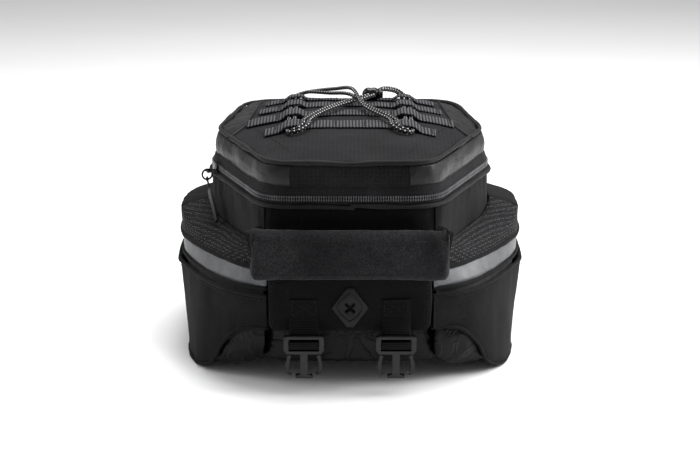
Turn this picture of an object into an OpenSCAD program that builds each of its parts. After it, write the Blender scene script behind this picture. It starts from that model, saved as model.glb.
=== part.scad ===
// Tail bag for a motorcycle: a domed, zipped lid over a boxy body, with a padded wing on each side,
// a front grab handle, bungee lacing on the lid and four straps with side-release plugs.
// Millimetres. +X right, -Y front, +Z up. The origin is under the middle, on the ground.

/* [Lid and body] */
// Half of the lid's width at its widest
lid_half = 121; // [116:1:124]
// Reach of the lid's top edge to the front
lid_front = 122; // [120:1:124]
// Reach of the lid's top edge to the rear
lid_rear = 143; // [141:1:144]
// Half of the flat stretch of the front edge
nose_half = 69; // [66:1:72]
// Half of the flat stretch of the rear edge
tail_half = 102; // [98:1:106]
// Height of the piping round the lid's top
lid_edge_z = 199; // [196:1:202]
// Rise of the lid's dome above its edge
crown = 17; // [12:1:20]
// Height of the zip's closing line
zip_z = 168; // [166:1:170]
// Thickness of the stiffened walls
wall_t = 4; // [3:0.5:5]
// Height of the base tray's top edge
tray_top = 51; // [46:1:54]

/* [Wings] */
// Height of the reflective stripe's upper edge
stripe_top_z = 104; // [102:1:106]
// Height of the reflective stripe's lower edge
stripe_low_z = 88; // [86:1:90]
// Height of the side panel's bound top edge
lip_z = 82; // [80:1:84]
// Thickness of the sewn outer layers
skin_t = 2; // [1.5:0.25:2.25]

/* [Handle and straps] */
// Width of the grab handle
handle_w = 170; // [160:1:174]
// Height of the grab handle's sleeve
handle_h = 42; // [36:1:44]
// Width of the strap webbing
strap_w = 25; // [24:0.5:25.5]
// Thickness of the strap webbing
web_t = 1.6; // [1.2:0.1:1.7]
// Distance of each strap from the middle
strap_x = 39.5; // [36:0.5:44]

/* [Lid lacing] */
// Width of the sewn webbing rows
row_w = 20; // [18:1:22]
// Diameter of the bungee cord
cord_d = 3.5; // [3:0.1:3.6]
// Height of the arches that the cord passes under
arch_h = 4.1; // [4:0.1:5]

/* [Hidden] */
GAP = 0.3;

// ---- Small helpers ----

function unit(v) = v / norm(v);
function mix(a, b, t) = a + (b - a) * t;

// A corner turned into n points of a quadratic curve that starts and ends `cut` from it.
function corner(before, at, after, cut, n = 5) =
    let (a = at + cut * unit(before - at), b = at + cut * unit(after - at))
    [for (i = [0:n - 1])
        let (t = i / (n - 1))
        mix(mix(a, at, t), mix(at, b, t), t)];

// Points that divide the line from a to b into n equal steps, without its ends.
function between(a, b, n) = [for (i = [1:n - 1]) mix(a, b, i / n)];

// A closed skin over rings of equal count, stacked so that each ring runs anticlockwise seen from the last.
module skin(rings, loop = false) {
    n = len(rings[0]);
    m = len(rings);
    sides = [for (k = [0:m - (loop ? 1 : 2)], i = [0:n - 1])
        let (j = (i + 1) % n, up = ((k + 1) % m) * n, low = k * n)
        each [[low + i, up + j, low + j], [low + i, up + i, up + j]]];
    first = [for (i = [0:n - 1]) i];
    last = [for (i = [n - 1:-1:0]) (m - 1) * n + i];
    polyhedron([for (r = rings) each r], concat(sides, loop ? [] : [first, last]), convexity = 8);
}

// The same skin, with each end closed by a fan about its middle: for flat ends that are broad and rounded.
module slab(rings) {
    n = len(rings[0]);
    m = len(rings);
    sides = [for (k = [0:m - 2], i = [0:n - 1])
        let (j = (i + 1) % n, up = (k + 1) * n, low = k * n)
        each [[low + i, up + j, low + j], [low + i, up + i, up + j]]];
    fans = [for (i = [0:n - 1])
        let (j = (i + 1) % n)
        each [[i, j, m * n], [(m - 1) * n + j, (m - 1) * n + i, m * n + 1]]];
    middles = [for (r = [rings[0], rings[m - 1]]) [0, MID_Y, r[0].z]];
    polyhedron([for (r = rings) each r, each middles], concat(sides, fans), convexity = 8);
}

// A smooth curve through key points: `n` points at equal steps of length along it.
function bend(p0, p1, p2, p3, t) =
    0.5 * (2 * p1 + (p2 - p0) * t + (2 * p0 - 5 * p1 + 4 * p2 - p3) * t * t
    + (3 * p1 - p0 - 3 * p2 + p3) * t * t * t);
function fine(keys, steps = 6) =
    let (last = len(keys) - 1)
    [for (i = [0:last - 1], s = [0:steps - 1])
        bend(keys[max(i - 1, 0)], keys[i], keys[i + 1], keys[min(i + 2, last)], s / steps),
        keys[last]];
function lengths(p) = [
    for (i = 0, d = 0; i < len(p); d = d + (i + 1 < len(p) ? norm(p[i + 1] - p[i]) : 0), i = i + 1) d];
function at_length(p, d, s, i = 0) =
    i >= len(p) - 2 || d[i + 1] >= s
        ? mix(p[i], p[i + 1], min(1, (s - d[i]) / (d[i + 1] - d[i])))
        : at_length(p, d, s, i + 1);
function rail(keys, shares) =
    let (p = fine(keys), d = lengths(p))
    [for (s = shares) at_length(p, d, s * d[len(d) - 1])];

// ---- The outline that the lid, the zip and the walls share ----

nose = [nose_half, -lid_front];
flank = [lid_half, 12];
tail = [tail_half, lid_rear];
NOSE_CURVE = corner([0, -lid_front], nose, flank, 22);
FLANK_CURVE = corner(nose, flank, tail, 15);
TAIL_CURVE = corner(flank, tail, [0, lid_rear], 31);
HALF = concat(
    [[0, -lid_front], [nose_half / 2, -lid_front]],
    NOSE_CURVE, between(NOSE_CURVE[4], FLANK_CURVE[0], 6),
    FLANK_CURVE, between(FLANK_CURVE[4], TAIL_CURVE[0], 5),
    TAIL_CURVE, [[tail_half / 3, lid_rear], [0, lid_rear]]
);
REAR = len(HALF) - 1;
OUTLINE = concat(HALF, [for (i = [REAR - 1:-1:1]) [-HALF[i].x, HALF[i].y]]);
TURNS = len(OUTLINE);
MID_Y = (lid_rear - lid_front) / 2;
REACH = (lid_rear + lid_front) / 2;

// Point i of the outline, grown by `side` at the sides and `ends` at the front and rear, at height z.
function grown(i, side, ends, z) =
    let (p = OUTLINE[(i + TURNS) % TURNS])
    [p.x * (1 + side / lid_half), MID_Y + (p.y - MID_Y) * (1 + ends / REACH), z];

// A ring all the way round. Each profile point is [side, ends, z], up the outside and down the inside.
module ring_band(profile)
    skin([for (q = profile) [for (i = [0:TURNS - 1]) grown(i, q[0], q[1], q[2])]], loop = true);

// The same profile from outline point a to point b only.
module ring_piece(a, b, profile)
    skin([for (i = [a:b])
        [for (k = [len(profile) - 1:-1:0]) grown(i, profile[k][0], profile[k][1], profile[k][2])]]);

// A tube of radius r round the outline.
module ring_cord(side, ends, z, r, sides = 8)
    ring_band([for (k = [0:sides - 1])
        let (a = 360 * k / sides - 90)
        [side + r * cos(a), ends + r * cos(a), z + r * sin(a)]]);

// How far out a point of the plan lies: 0 in the middle, 1 on the lid's edge.
function gauge(x, y) =
    max([for (i = [0:TURNS - 1])
        let (a = OUTLINE[i], b = OUTLINE[(i + 1) % TURNS], n = [b.y - a.y, a.x - b.x])
        (n * ([x, y] - [0, MID_Y])) / (n * (a - [0, MID_Y]))]);
function dome_at(share) = lid_edge_z + crown * (1 - pow(share, 2.2));
function dome(x, y) = dome_at(min(1, gauge(x, y)));

// ---- Body ----

WALL_SIDE = 8.5;
WALL_ENDS = -2;
FLOOR_Z = 20;
PIPING_Z = 160;
FRONT_Y = -(lid_front + WALL_ENDS);
REAR_Y = lid_rear + WALL_ENDS;
NOSE_END = 5;
SIDE_END = REAR - 4;

function wall_profile(z0, z1) = [
    [WALL_SIDE, WALL_ENDS, z0],
    [WALL_SIDE, WALL_ENDS, z1],
    [WALL_SIDE - wall_t, WALL_ENDS - wall_t, z1],
    [WALL_SIDE - wall_t, WALL_ENDS - wall_t, z0]
];

module base_tray() color("#2b2b2c")
    slab([for (q = [[0, FLOOR_Z], [0, tray_top], [wall_t, tray_top], [wall_t, FLOOR_Z + 3]])
        [for (i = [0:TURNS - 1]) grown(i, WALL_SIDE - q[0], WALL_ENDS - q[0], q[1])]]);

module base_board() color("#404040")
    slab([for (z = [FLOOR_Z + 3 + GAP, FLOOR_Z + 6])
        [for (i = [0:TURNS - 1]) grown(i, WALL_SIDE - wall_t - 1, WALL_ENDS - wall_t - 1, z)]]);

module wall(a, b) color("#1d1d1e")
    ring_piece(a, b, wall_profile(tray_top + GAP / 3, PIPING_Z - 1));
module front_wall() wall(-NOSE_END, NOSE_END);
module right_wall() wall(NOSE_END, SIDE_END);
module rear_wall() wall(SIDE_END, TURNS - SIDE_END);
module left_wall() wall(TURNS - SIDE_END, TURNS - NOSE_END);

module body_piping() color("#3a3a3b")
    ring_cord(WALL_SIDE + 1, WALL_ENDS + 4, PIPING_Z + 1, 2);

// The two halves of the zip. Each is a tape with a row of coil along the closing line.
HINGE_END = REAR - 1;
coil_gap = 0.4;
module zip_half(out_side, out_ends, z_tape, up) {
    z_coil = zip_z + up * (coil_gap + 1);
    edge = zip_z + up * coil_gap;
    lean = 4.2;
    tape = up > 0
        ? [[lean + 2.8, 0.8, edge], [out_side, out_ends, z_tape],
           [out_side - 1.2, out_ends - 1.2, z_tape], [lean + 1.6, -0.4, edge]]
        : [[out_side, out_ends, z_tape], [lean + 2.8, 0.8, edge],
           [lean + 1.6, -0.4, edge], [out_side - 1.2, out_ends - 1.2, z_tape]];
    coil = [for (a = [-135, -45, 45, 135]) [lean + 3.6 + 1.3 * cos(a), 1.6 + 1.3 * cos(a), z_coil + sin(a)]];
    ring_piece(-HINGE_END, HINGE_END, tape);
    ring_piece(-HINGE_END, HINGE_END, coil);
}
module lower_zip_tape() color("#303031") zip_half(WALL_SIDE - 0.6, 0.4, PIPING_Z + 3.4, -1);
module upper_zip_tape() color("#303031") zip_half(5, 0.6, 178, 1);

// Raised panel on the front, rounded at its lower corners.
PANEL_HALF = 70.3;
PANEL_FACE = -131;
PANEL_TOP = 108;
module front_panel() color("#161617") {
    low = [PANEL_HALF, tray_top];
    lower_corner = corner([PANEL_HALF, PANEL_TOP], low, [0, tray_top], 9);
    shape = concat([[-PANEL_HALF, PANEL_TOP], [PANEL_HALF, PANEL_TOP]], lower_corner,
        [for (i = [4:-1:0]) [-lower_corner[i].x, lower_corner[i].y]]);
    back = FRONT_Y - GAP;
    grow = 2.5;
    skin([for (layer = [[back, 0], [PANEL_FACE + grow, 0], [PANEL_FACE, grow]])
        [for (p = shape)
            let (toward = [p.x * (1 - layer[1] / PANEL_HALF), mix(p.y, 80, layer[1] / 28)])
            [toward.x, layer[0], toward.y]]]);
}

// Diamond tab of moulded rubber with crossed slots.
TAB_Z = 74;
module lash_tab() color("#101011")
    translate([0, PANEL_FACE - GAP, TAB_Z]) rotate([90, 0, 0]) difference() {
        linear_extrude(3) polygon([[16, 0], [3, 17.5], [-3, 17.5], [-16, 0], [-3, -17.5], [3, -17.5]]);
        for (a = [45, 135])
            translate([0, 0, -1]) rotate([0, 0, a]) linear_extrude(5) square([11, 2.2], center = true);
    }

// ---- Wings ----

WING_FROM = NOSE_END + 1;
WING_TO = SIDE_END - 1;
STATIONS = [for (i = [WING_FROM:WING_TO]) grown(i, WALL_SIDE + GAP, WALL_ENDS + GAP, 0)];
STEP_SUM = lengths(STATIONS);
SHARES = [for (d = STEP_SUM) d / STEP_SUM[len(STEP_SUM) - 1]];
LAST = len(SHARES) - 1;
RIDGE = 9;

STRIPE_TOP = rail([[72, -121, 0], [84, -113, 0], [103, -94, 0], [127, -61, 0], [150, -18, 0],
    [157, 12, 0], [157, 60, 0], [144, 108, 0], [116, 134, 0]], SHARES);
STRIPE_LOW = rail([[72, -124, 0], [87, -118, 0], [107, -102, 0], [129, -70, 0], [149, -26, 0],
    [155, 8, 0], [155, 62, 0], [145, 109, 0], [117, 136, 0]], SHARES);
LIP = rail([[72, -126.5, 0], [85, -122, 0], [112, -102, 0], [133, -70, 0], [150, -34, 0],
    [158.5, -6, 0], [158.8, 62, 0], [148, 112, 0], [119, 139, 0]], SHARES);
HEM = rail([[72, -124, 51], [88, -119, 51], [99, -112.5, 46], [112, -103.5, 32], [120, -98, 20],
    [125, -92, 6], [138, -75, 1], [148, -42, 0], [151, 0, 0], [151, 62, 0], [142, 106, 6],
    [116, 135, 36]], SHARES);
SHOULDER = rail([[72, -119, 118], [86, -107, 116], [105, -84, 113], [128, -54, 112], [146, -18, 117],
    [157, 13, 126], [157, 60, 126], [144, 106, 122], [116, 132, 116]], SHARES);
function top_at_wall(j) =
    let (y = STATIONS[j].y)
    y < -12 ? 123 : y < 22 ? 123 + 11 * (y + 12) / 34 : y < 80 ? 134 : 134 - (y - 80) / 4;
function underside_z(j) =
    let (x = HEM[j].x)
    HEM[j].y > 0 ? 3
        : x < 75 ? 22
        : x < 92 ? mix(22, 8, (x - 75) / 17)
        : x < 122 ? 8
        : x < 140 ? mix(8, 3, (x - 122) / 18) : 3;

// A rail's point j moved inwards by d in plan, at height z.
function inset(line, j, d, z) =
    let (a = line[max(j - 1, 0)], b = line[min(j + 1, LAST)], along = unit([b.x - a.x, b.y - a.y]))
    [line[j].x - along.y * d, line[j].y + along.x * d, z];
function on_wall(j, z, d = 0) = inset(STATIONS, j, -d, z);
function split_z(j) = max(HEM[j].z + 3, 17);

// A rail's point j moved by d towards the wall, at height z.
function toward(line, j, d, z) =
    let (a = line[j], b = STATIONS[j], share = min(0.8, d / norm([b.x - a.x, b.y - a.y])))
    [mix(a.x, b.x, share), mix(a.y, b.y, share), z];

// Each section runs up the inside and down the outside. The filling stays clear of the layers sewn over it.
CORE_GAP = 3.5;
module wing_core() skin([for (j = [0:LAST]) [
    on_wall(j, split_z(j) + CORE_GAP, GAP),
    on_wall(j, top_at_wall(j) - skin_t - CORE_GAP, GAP),
    toward(SHOULDER, j, skin_t + CORE_GAP, SHOULDER[j].z - skin_t - CORE_GAP),
    toward(STRIPE_TOP, j, skin_t + CORE_GAP, stripe_top_z - 1),
    toward(STRIPE_LOW, j, skin_t + CORE_GAP, stripe_low_z),
    toward(LIP, j, skin_t + CORE_GAP + 2, lip_z - 2),
    toward(HEM, j, skin_t + CORE_GAP + 1, split_z(j) + CORE_GAP)
]]);

module wing_underside() skin([for (j = [0:LAST]) [
    on_wall(j, underside_z(j) + 12, GAP),
    on_wall(j, split_z(j), GAP),
    toward(HEM, j, skin_t + 1.5, split_z(j)),
    toward(HEM, j, HEM[j].z > 31 && HEM[j].y < 0 ? 0.4 : skin_t + 1.8, mix(split_z(j), underside_z(j), 0.55)),
    toward(HEM, j, skin_t + 6, underside_z(j) + 2),
    toward(HEM, j, skin_t + 12, underside_z(j))
]]);

module wing_cover(a, b) skin([for (j = [a:b]) [
    on_wall(j, top_at_wall(j) - skin_t, 1.7),
    on_wall(j, top_at_wall(j), 1.7),
    inset(SHOULDER, j, 0, SHOULDER[j].z),
    inset(STRIPE_TOP, j, 0, stripe_top_z + 0.2),
    inset(STRIPE_TOP, j, skin_t, stripe_top_z + 0.2),
    inset(SHOULDER, j, skin_t, SHOULDER[j].z - skin_t)
]]);

module wing_stripe() skin([for (j = [0:LAST]) [
    inset(STRIPE_LOW, j, skin_t, stripe_low_z),
    inset(STRIPE_TOP, j, skin_t, stripe_top_z),
    inset(STRIPE_TOP, j, 0, stripe_top_z),
    inset(STRIPE_LOW, j, 0, stripe_low_z)
]]);

module wing_bindings()
    for (edge = [[STRIPE_TOP, stripe_top_z, 1.6], [STRIPE_LOW, stripe_low_z - 2.6, 1.5]])
        skin([for (j = [0:LAST]) [for (a = [45, 135, 225, 315])
            inset(edge[0], j, -edge[2] - 0.35 + edge[2] * cos(a) * 1.2, edge[1] + edge[2] * sin(a) * 1.4)]]);

module wing_side_panel() skin([for (j = [0:LAST]) [
    inset(HEM, j, skin_t, HEM[j].z),
    inset(LIP, j, skin_t, lip_z),
    inset(LIP, j, 0, lip_z),
    inset(HEM, j, 0, HEM[j].z)
]]);

module on_side(side) mirror([side < 0 ? 1 : 0, 0, 0]) children();
module left_foam_core() color("#555555") on_side(-1) wing_core();
module right_foam_core() color("#555555") on_side(1) wing_core();
module left_underside() color("#2b2b2c") on_side(-1) wing_underside();
module right_underside() color("#2b2b2c") on_side(1) wing_underside();
module left_mesh() color("#333334") on_side(-1) wing_cover(0, RIDGE);
module right_mesh() color("#333334") on_side(1) wing_cover(0, RIDGE);
module left_top_panel() color("#262627") on_side(-1) wing_cover(RIDGE, LAST);
module right_top_panel() color("#262627") on_side(1) wing_cover(RIDGE, LAST);
module left_stripe() color("#8a8a8c") on_side(-1) wing_stripe();
module right_stripe() color("#8a8a8c") on_side(1) wing_stripe();
module left_stripe_bindings() color("#19191a") on_side(-1) wing_bindings();
module right_stripe_bindings() color("#19191a") on_side(1) wing_bindings();
module left_side_panel() color("#1a1a1b") on_side(-1) wing_side_panel();
module right_side_panel() color("#1a1a1b") on_side(1) wing_side_panel();

// ---- Handle ----

HANDLE_FACE = -148.5;
HANDLE_TOP = 145;
sleeve_t = 6;
SEWN_X = 71;
SEWN_Y = FRONT_Y - 2 * GAP;
HANDLE_BACK = HANDLE_FACE + sleeve_t;

// Flat padded sleeve whose ends fold back to the wall.
module handle_sleeve() color("#2f2f30") {
    half = handle_w / 2;
    low = HANDLE_TOP - handle_h;
    difference() {
        translate([-half, HANDLE_FACE, low]) cube([handle_w, sleeve_t, handle_h]);
        translate([-half - 1, HANDLE_FACE + 1.8, low + 7]) cube([handle_w + 2, sleeve_t - 3.6, handle_h - 14]);
    }
    for (side = [-1, 1])
        linear_extrude_between(low + 10, HANDLE_TOP - 5) polygon([
            [side * half, HANDLE_BACK - 1], [side * (SEWN_X + 2), SEWN_Y], [side * SEWN_X, SEWN_Y],
            [side * (half - 4), HANDLE_BACK - 1]]);
}
module linear_extrude_between(z0, z1) translate([0, 0, z0]) linear_extrude(z1 - z0) children();

module handle_webbing() color("#202020")
    translate([-handle_w / 2 + 4, HANDLE_FACE + 1.8 + GAP, HANDLE_TOP - handle_h / 2 - 12.5])
        cube([handle_w - 8, sleeve_t - 3.6 - 2 * GAP, 25]);

// ---- Lid ----

function dome_ring(s, side, drop) = [for (i = [0:TURNS - 1])
    let (p = grown(i, side, side, 0))
    [p.x * s, MID_Y + (p.y - MID_Y) * s, dome_at(s) - drop]];
module dome_layer(side, drop, thick) {
    shares = [1, 0.8, 0.55, 0.28, 0.05];
    slab(concat(
        [for (k = [len(shares) - 1:-1:0]) dome_ring(shares[k], side, drop + thick)],
        [for (s = shares) dome_ring(s, side, drop)]
    ));
}
module lid_top() color("#353536") dome_layer(-1.8, 0, 2);
module lid_foam() color("#505050") dome_layer(-5, 2 + GAP, 6);
module lid_band() color("#242425") ring_band([
    [4.4, 0.6, 178 + GAP], [5.2, 2, 184], [2.4, 1.5, lid_edge_z - 2.6],
    [-0.8, -1.8, lid_edge_z - 2.6], [2, -1.2, 184], [2, -2, 178 + GAP]]);
module lid_piping() color("#3a3a3b") ring_cord(0.4, 0.4, lid_edge_z, 2);
module lid_hinge_strip() color("#242425")
    ring_piece(REAR - 1, REAR + 1, [[3.4, 0.2, PIPING_Z + 3.6], [3.4, 0.2, 177.8],
        [2.2, -1, 177.8], [2.2, -1, PIPING_Z + 3.6]]);

// Rows of ribbed webbing, each arched where the cord passes under it.
ROWS = [[-42, 76], [-2, 94], [38, 85], [78, 80]];
CORD_X = 52;
function row_lift(x) = let (d = abs(abs(x) - CORD_X)) d < 6 ? arch_h : d < 12 ? arch_h * (12 - d) / 6 : 0;
module webbing_row(n) color("#454546") {
    y = ROWS[n][0];
    half = ROWS[n][1];
    stops = [-half, -64, -58, -46, -40, -20, 0, 20, 40, 46, 58, 64, half];
    skin([for (x = stops)
        let (front = dome(x, y - row_w / 2), back = dome(x, y + row_w / 2), z = row_lift(x) + 0.5)
        [[x, y - row_w / 2, front + z], [x, y + row_w / 2, back + z],
         [x, y + row_w / 2, back + z + web_t], [x, y - row_w / 2, front + z + web_t]]]);
}
module webbing_row_1() webbing_row(0);
module webbing_row_2() webbing_row(1);
module webbing_row_3() webbing_row(2);
module webbing_row_4() webbing_row(3);

// The bungee makes two laps: from the lock across to a front corner, back under the rows along that side,
// over in an arch to the other front corner, and back under the rows to the lock.
// Points are [x, y, height above the dome].
LOCK = [20, 56, 8.5];
LOW = 2;
INNER_LAP = [
    [17.5, 49.5, 8.5], [4, 34, 7], [-14, 8, 6.5], [-30, -18, 6.5], [-40.5, -40, 6.5],
    [-41.2, -51, 6.2], [-45.2, -57.3, 4.5], [-49.8, -57, 3.3], [-50.5, -50, LOW], [-50, -22, LOW],
    [-50, 18, LOW], [-50, 58, LOW], [-50, 86, LOW], [-47, 94, 5], [-40, 86, 8],
    [-20, 60, 9], [0, 32, 11.6], [17, 0, 7], [30, -22, 6.5], [40.5, -40, 6.5],
    [41.2, -51, 6.2], [45.2, -57.3, 4.5], [49.8, -57, 3.3], [50.5, -50, LOW], [50, -22, LOW],
    [50, 18, LOW], [50, 58, LOW], [50, 86, LOW], [48, 94, 5], [42, 87, 9],
    [30, 72, 11], [17.5, 62.5, 8.5]
];
OUTER_LAP = [
    [22.5, 49.5, 8.5], [9, 29, 7], [-9.5, 5, 6.5], [-25, -20, 6.5], [-35.5, -43, 6.5],
    [-37.2, -55, 5.4], [-45, -63.8, 3.8], [-52.5, -62.5, 3.2], [-55.5, -50, LOW], [-55, -22, LOW],
    [-55, 18, LOW], [-55, 58, LOW], [-55, 88, LOW], [-50, 99, 5], [-36, 90, 8.5],
    [-15, 65, 12.5], [2, 36, 16.2], [12, 0, 8], [25, -25, 6.5], [35.5, -43, 6.5],
    [37.2, -55, 5.4], [45, -63.8, 3.8], [52.5, -62.5, 3.2], [55.5, -50, LOW], [55, -22, LOW],
    [55, 18, LOW], [55, 58, LOW], [55, 88, LOW], [52, 99, 5], [44, 93, 10],
    [32, 79, 12], [22.5, 62.5, 8.5]
];
RINGS = 64;
function above_dome(p) = [p.x, p.y, dome(p.x, p.y) + p.z];
module tube(points, r, sides = 8) {
    last = len(points) - 1;
    skin([for (i = [0:last])
        let (t = unit(points[min(i + 1, last)] - points[max(i - 1, 0)]),
             across = unit(cross([0, 0, 1], t)), up = cross(t, across))
        [for (k = [0:sides - 1])
            points[i] + r * (cos(360 * k / sides) * across + sin(360 * k / sides) * up)]]);
}
module bungee() color("#9a9a9a")
    for (lap = [INNER_LAP, OUTER_LAP])
        tube(rail([for (p = lap) above_dome(p)], [for (k = [0:RINGS - 1]) k / (RINGS - 1)]), cord_d / 2);

// The lock: a barrel with a through hole for the cord and a bore for its sprung plunger.
LOCK_R = 6;
LOCK_LONG = 15;
PLUNGER_R = 3.6;
PRESS = 3;
LOCK_AT = above_dome(LOCK);
module cord_lock_barrel() color("#111112") translate(LOCK_AT) rotate([0, 90, 0]) difference() {
    translate([0, 0, -LOCK_LONG / 2]) cylinder(r = LOCK_R, h = LOCK_LONG, $fn = 48);
    translate([0, 0, -LOCK_LONG / 2 + 2]) cylinder(r = PLUNGER_R + 0.08, h = LOCK_LONG, $fn = 48);
    rotate([90, 0, 0]) linear_extrude(4 * LOCK_R, center = true) square([4.4, 9], center = true);
}
module cord_lock_plunger() color("#202021") translate(LOCK_AT) rotate([0, 90, 0]) difference() {
    translate([0, 0, -1.5]) cylinder(r = PLUNGER_R, h = LOCK_LONG / 2 + 1.5 + PRESS + 0.5, $fn = 48);
    rotate([90, 0, 0]) linear_extrude(4 * LOCK_R, center = true)
        translate([0, 2.6]) square([4.4, 6.6], center = true);
}
module cord_lock_spring() color("#aaaaaa") translate(LOCK_AT) rotate([0, 90, 0])
    translate([0, 0, -LOCK_LONG / 2 + 2.1]) difference() {
        cylinder(r = 2.6, h = 3.7, $fn = 32);
        translate([0, 0, -1]) cylinder(r = 1.8, h = 6, $fn = 32);
    }

// ---- Zip slider, its ring and its pull, on the straight front-left edge ----

ZIP_SIDE = 7.8;
ZIP_ENDS = 1.6;
SLIDER_Y = -8;
edge_a = [-flank.x * (1 + ZIP_SIDE / lid_half), flank.y];
edge_b = [-nose.x * (1 + ZIP_SIDE / lid_half), MID_Y + (nose.y - MID_Y) * (1 + ZIP_ENDS / REACH)];
EDGE = unit(edge_b - edge_a);
SLIDER_AT = edge_a + EDGE * (SLIDER_Y - edge_a.y) / EDGE.y;
EDGE_TURN = atan2(EDGE.y, EDGE.x);
BAIL = [10.5, -3.5];
RING_R = 4.7;
WIRE_R = 0.9;
RING_DROP = RING_R - 2 * WIRE_R - 0.15;

// Local frame on the slider: X along the edge to the front, Y outwards from the bag, Z up.
module at_slider()
    translate([SLIDER_AT.x, SLIDER_AT.y, zip_z]) rotate([0, 0, EDGE_TURN]) mirror([0, 1, 0]) children();
module block(low, high) translate(low) cube(high - low);
module zip_slider() color("#3c3c3e") at_slider() {
    block([-6, 2.1, -4.4], [6, 3.3, 4.4]);
    block([-6, -5, -4], [6, -3.7, 4]);
    block([-6, -5, -0.2], [-4, 3.3, 0.2]);
    for (end = [-3.2, 2.2])
        block([end, 3.2, BAIL[1] - WIRE_R], [end + 1, BAIL[0] + WIRE_R, BAIL[1] + WIRE_R]);
    translate([-3.2, BAIL[0], BAIL[1]]) rotate([0, 90, 0]) cylinder(r = WIRE_R, h = 6.4, $fn = 24);
}
module slider_ring() color("#2c2c2e") at_slider()
    translate([0, BAIL[0], BAIL[1] - RING_DROP]) rotate([0, 90, 0])
        rotate_extrude($fn = 48) translate([RING_R, 0]) circle(WIRE_R, $fn = 24);
PULL_LEAN = 38;
module pull_tab() color("#1c1c1d") at_slider()
    translate([0, BAIL[0], BAIL[1] - RING_DROP - RING_R]) rotate([0, -PULL_LEAN, 0]) {
        rotate([90, 0, 0]) rotate_extrude($fn = 48) translate([2.2, 0]) circle(0.65, $fn = 24);
        translate([0, 0, -11]) cylinder(r = 0.9, h = 8.8, $fn = 24);
        translate([-4, -1, -42]) cube([8, 2, 32]);
    }

// ---- Straps with side-release plugs ----

FOLD_Z = 63;
FOLD_GAP = 0.8;
PATCH_TOP = 81.5;
PLUG_TOP = 52;
PLUG_W = 34.5;
PLUG_T = 4.6;
FRAME_H = 16.5;
BAR_Z = -8.5;
ARM_ROOT = [12.8, -18.6];
ARM_R = 1.8;

// side is -1 for left and 1 for right; end is -1 for the front and 1 for the rear.
function face_y(end) = end < 0 ? PANEL_FACE : REAR_Y;
function standoff(end) = end < 0 ? 9.4 : 2.2;
module at_strap(side, end)
    translate([side * strap_x, face_y(end) + end * (GAP + web_t + standoff(end)), PLUG_TOP])
        mirror([0, end < 0 ? 0 : 1, 0]) children();
module across(width) rotate([90, 0, 90]) linear_extrude(width, center = true) children();

module strap_patches() color("#252526")
    for (side = [-1, 1], end = [-1, 1])
        at_strap(side, end)
            translate([-strap_w / 2, standoff(end), FOLD_Z + FOLD_GAP / 2 - PLUG_TOP])
                cube([strap_w, web_t, PATCH_TOP - FOLD_Z]);

// The loose end: from the fold down the back of the plug and round its middle bar.
module strap_loop(end) color("#252526") {
    z_fold = FOLD_Z - FOLD_GAP - PLUG_TOP;
    back = 1.5 + GAP;
    y_fold = standoff(end);
    inner = 2.4;
    outer = 3.8;
    across(strap_w) difference() {
        union() {
            polygon([[-back - web_t, BAR_Z - 3.6], [back + web_t, BAR_Z - 3.6], [back + web_t, BAR_Z + 3.4],
                [-back - web_t, BAR_Z + 3.4]]);
            polygon([[back, BAR_Z], [back + web_t, BAR_Z], [outer, -3.4], [outer, 0],
                [y_fold + web_t, z_fold], [y_fold, z_fold], [inner, 0], [inner, -3.4]]);
        }
        square_at([-back, BAR_Z - 3.6 + web_t], [back, BAR_Z + 3.4 - web_t]);
    }
}
module square_at(low, high) translate(low) square(high - low);

module plug_body() color("#1b1b1c") rotate([90, 0, 0]) {
    linear_extrude(PLUG_T, center = true) difference() {
        polygon([[-PLUG_W / 2 + 1.5, 0], [PLUG_W / 2 - 1.5, 0], [PLUG_W / 2, -1.5], [PLUG_W / 2, -13],
            [PLUG_W / 2 - 2.4, -FRAME_H], [3.2, -FRAME_H], [3.2, -34.5], [7.5, -35.5], [7.5, -38],
            [-7.5, -38], [-7.5, -35.5], [-3.2, -34.5], [-3.2, -FRAME_H], [-PLUG_W / 2 + 2.4, -FRAME_H],
            [-PLUG_W / 2, -13], [-PLUG_W / 2, -1.5]]);
        square_at([-strap_w / 2 - 0.6, -13.4], [strap_w / 2 + 0.6, -3]);
    }
    linear_extrude(3, center = true) square_at([-strap_w / 2 - 1, BAR_Z - 1.5], [strap_w / 2 + 1, BAR_Z + 1.5]);
}

// One curved arm, on the +X side, rounded where it bends at its root.
module plug_arm() color("#1b1b1c") rotate([90, 0, 0]) {
    thick = PLUG_T - 0.4;
    translate([ARM_ROOT.x, ARM_ROOT.y, -thick / 2]) cylinder(r = ARM_R, h = thick, $fn = 32);
    linear_extrude(thick, center = true) polygon([
        [ARM_ROOT.x - 1.2, ARM_ROOT.y], [ARM_ROOT.x + 1.2, ARM_ROOT.y], [15.8, -24], [16, -29],
        [14.2, -34], [11.6, -35.6], [9.6, -34.2], [11.8, -32.4], [12.6, -28], [12.2, -24]]);
}

module strap(side, end) at_strap(side, end) strap_loop(end);
module plug(side, end) at_strap(side, end) plug_body();
module inner_arm(side, end) at_strap(side, end) mirror([side > 0 ? 1 : 0, 0, 0]) plug_arm();
module outer_arm(side, end) at_strap(side, end) mirror([side < 0 ? 1 : 0, 0, 0]) plug_arm();

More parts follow.
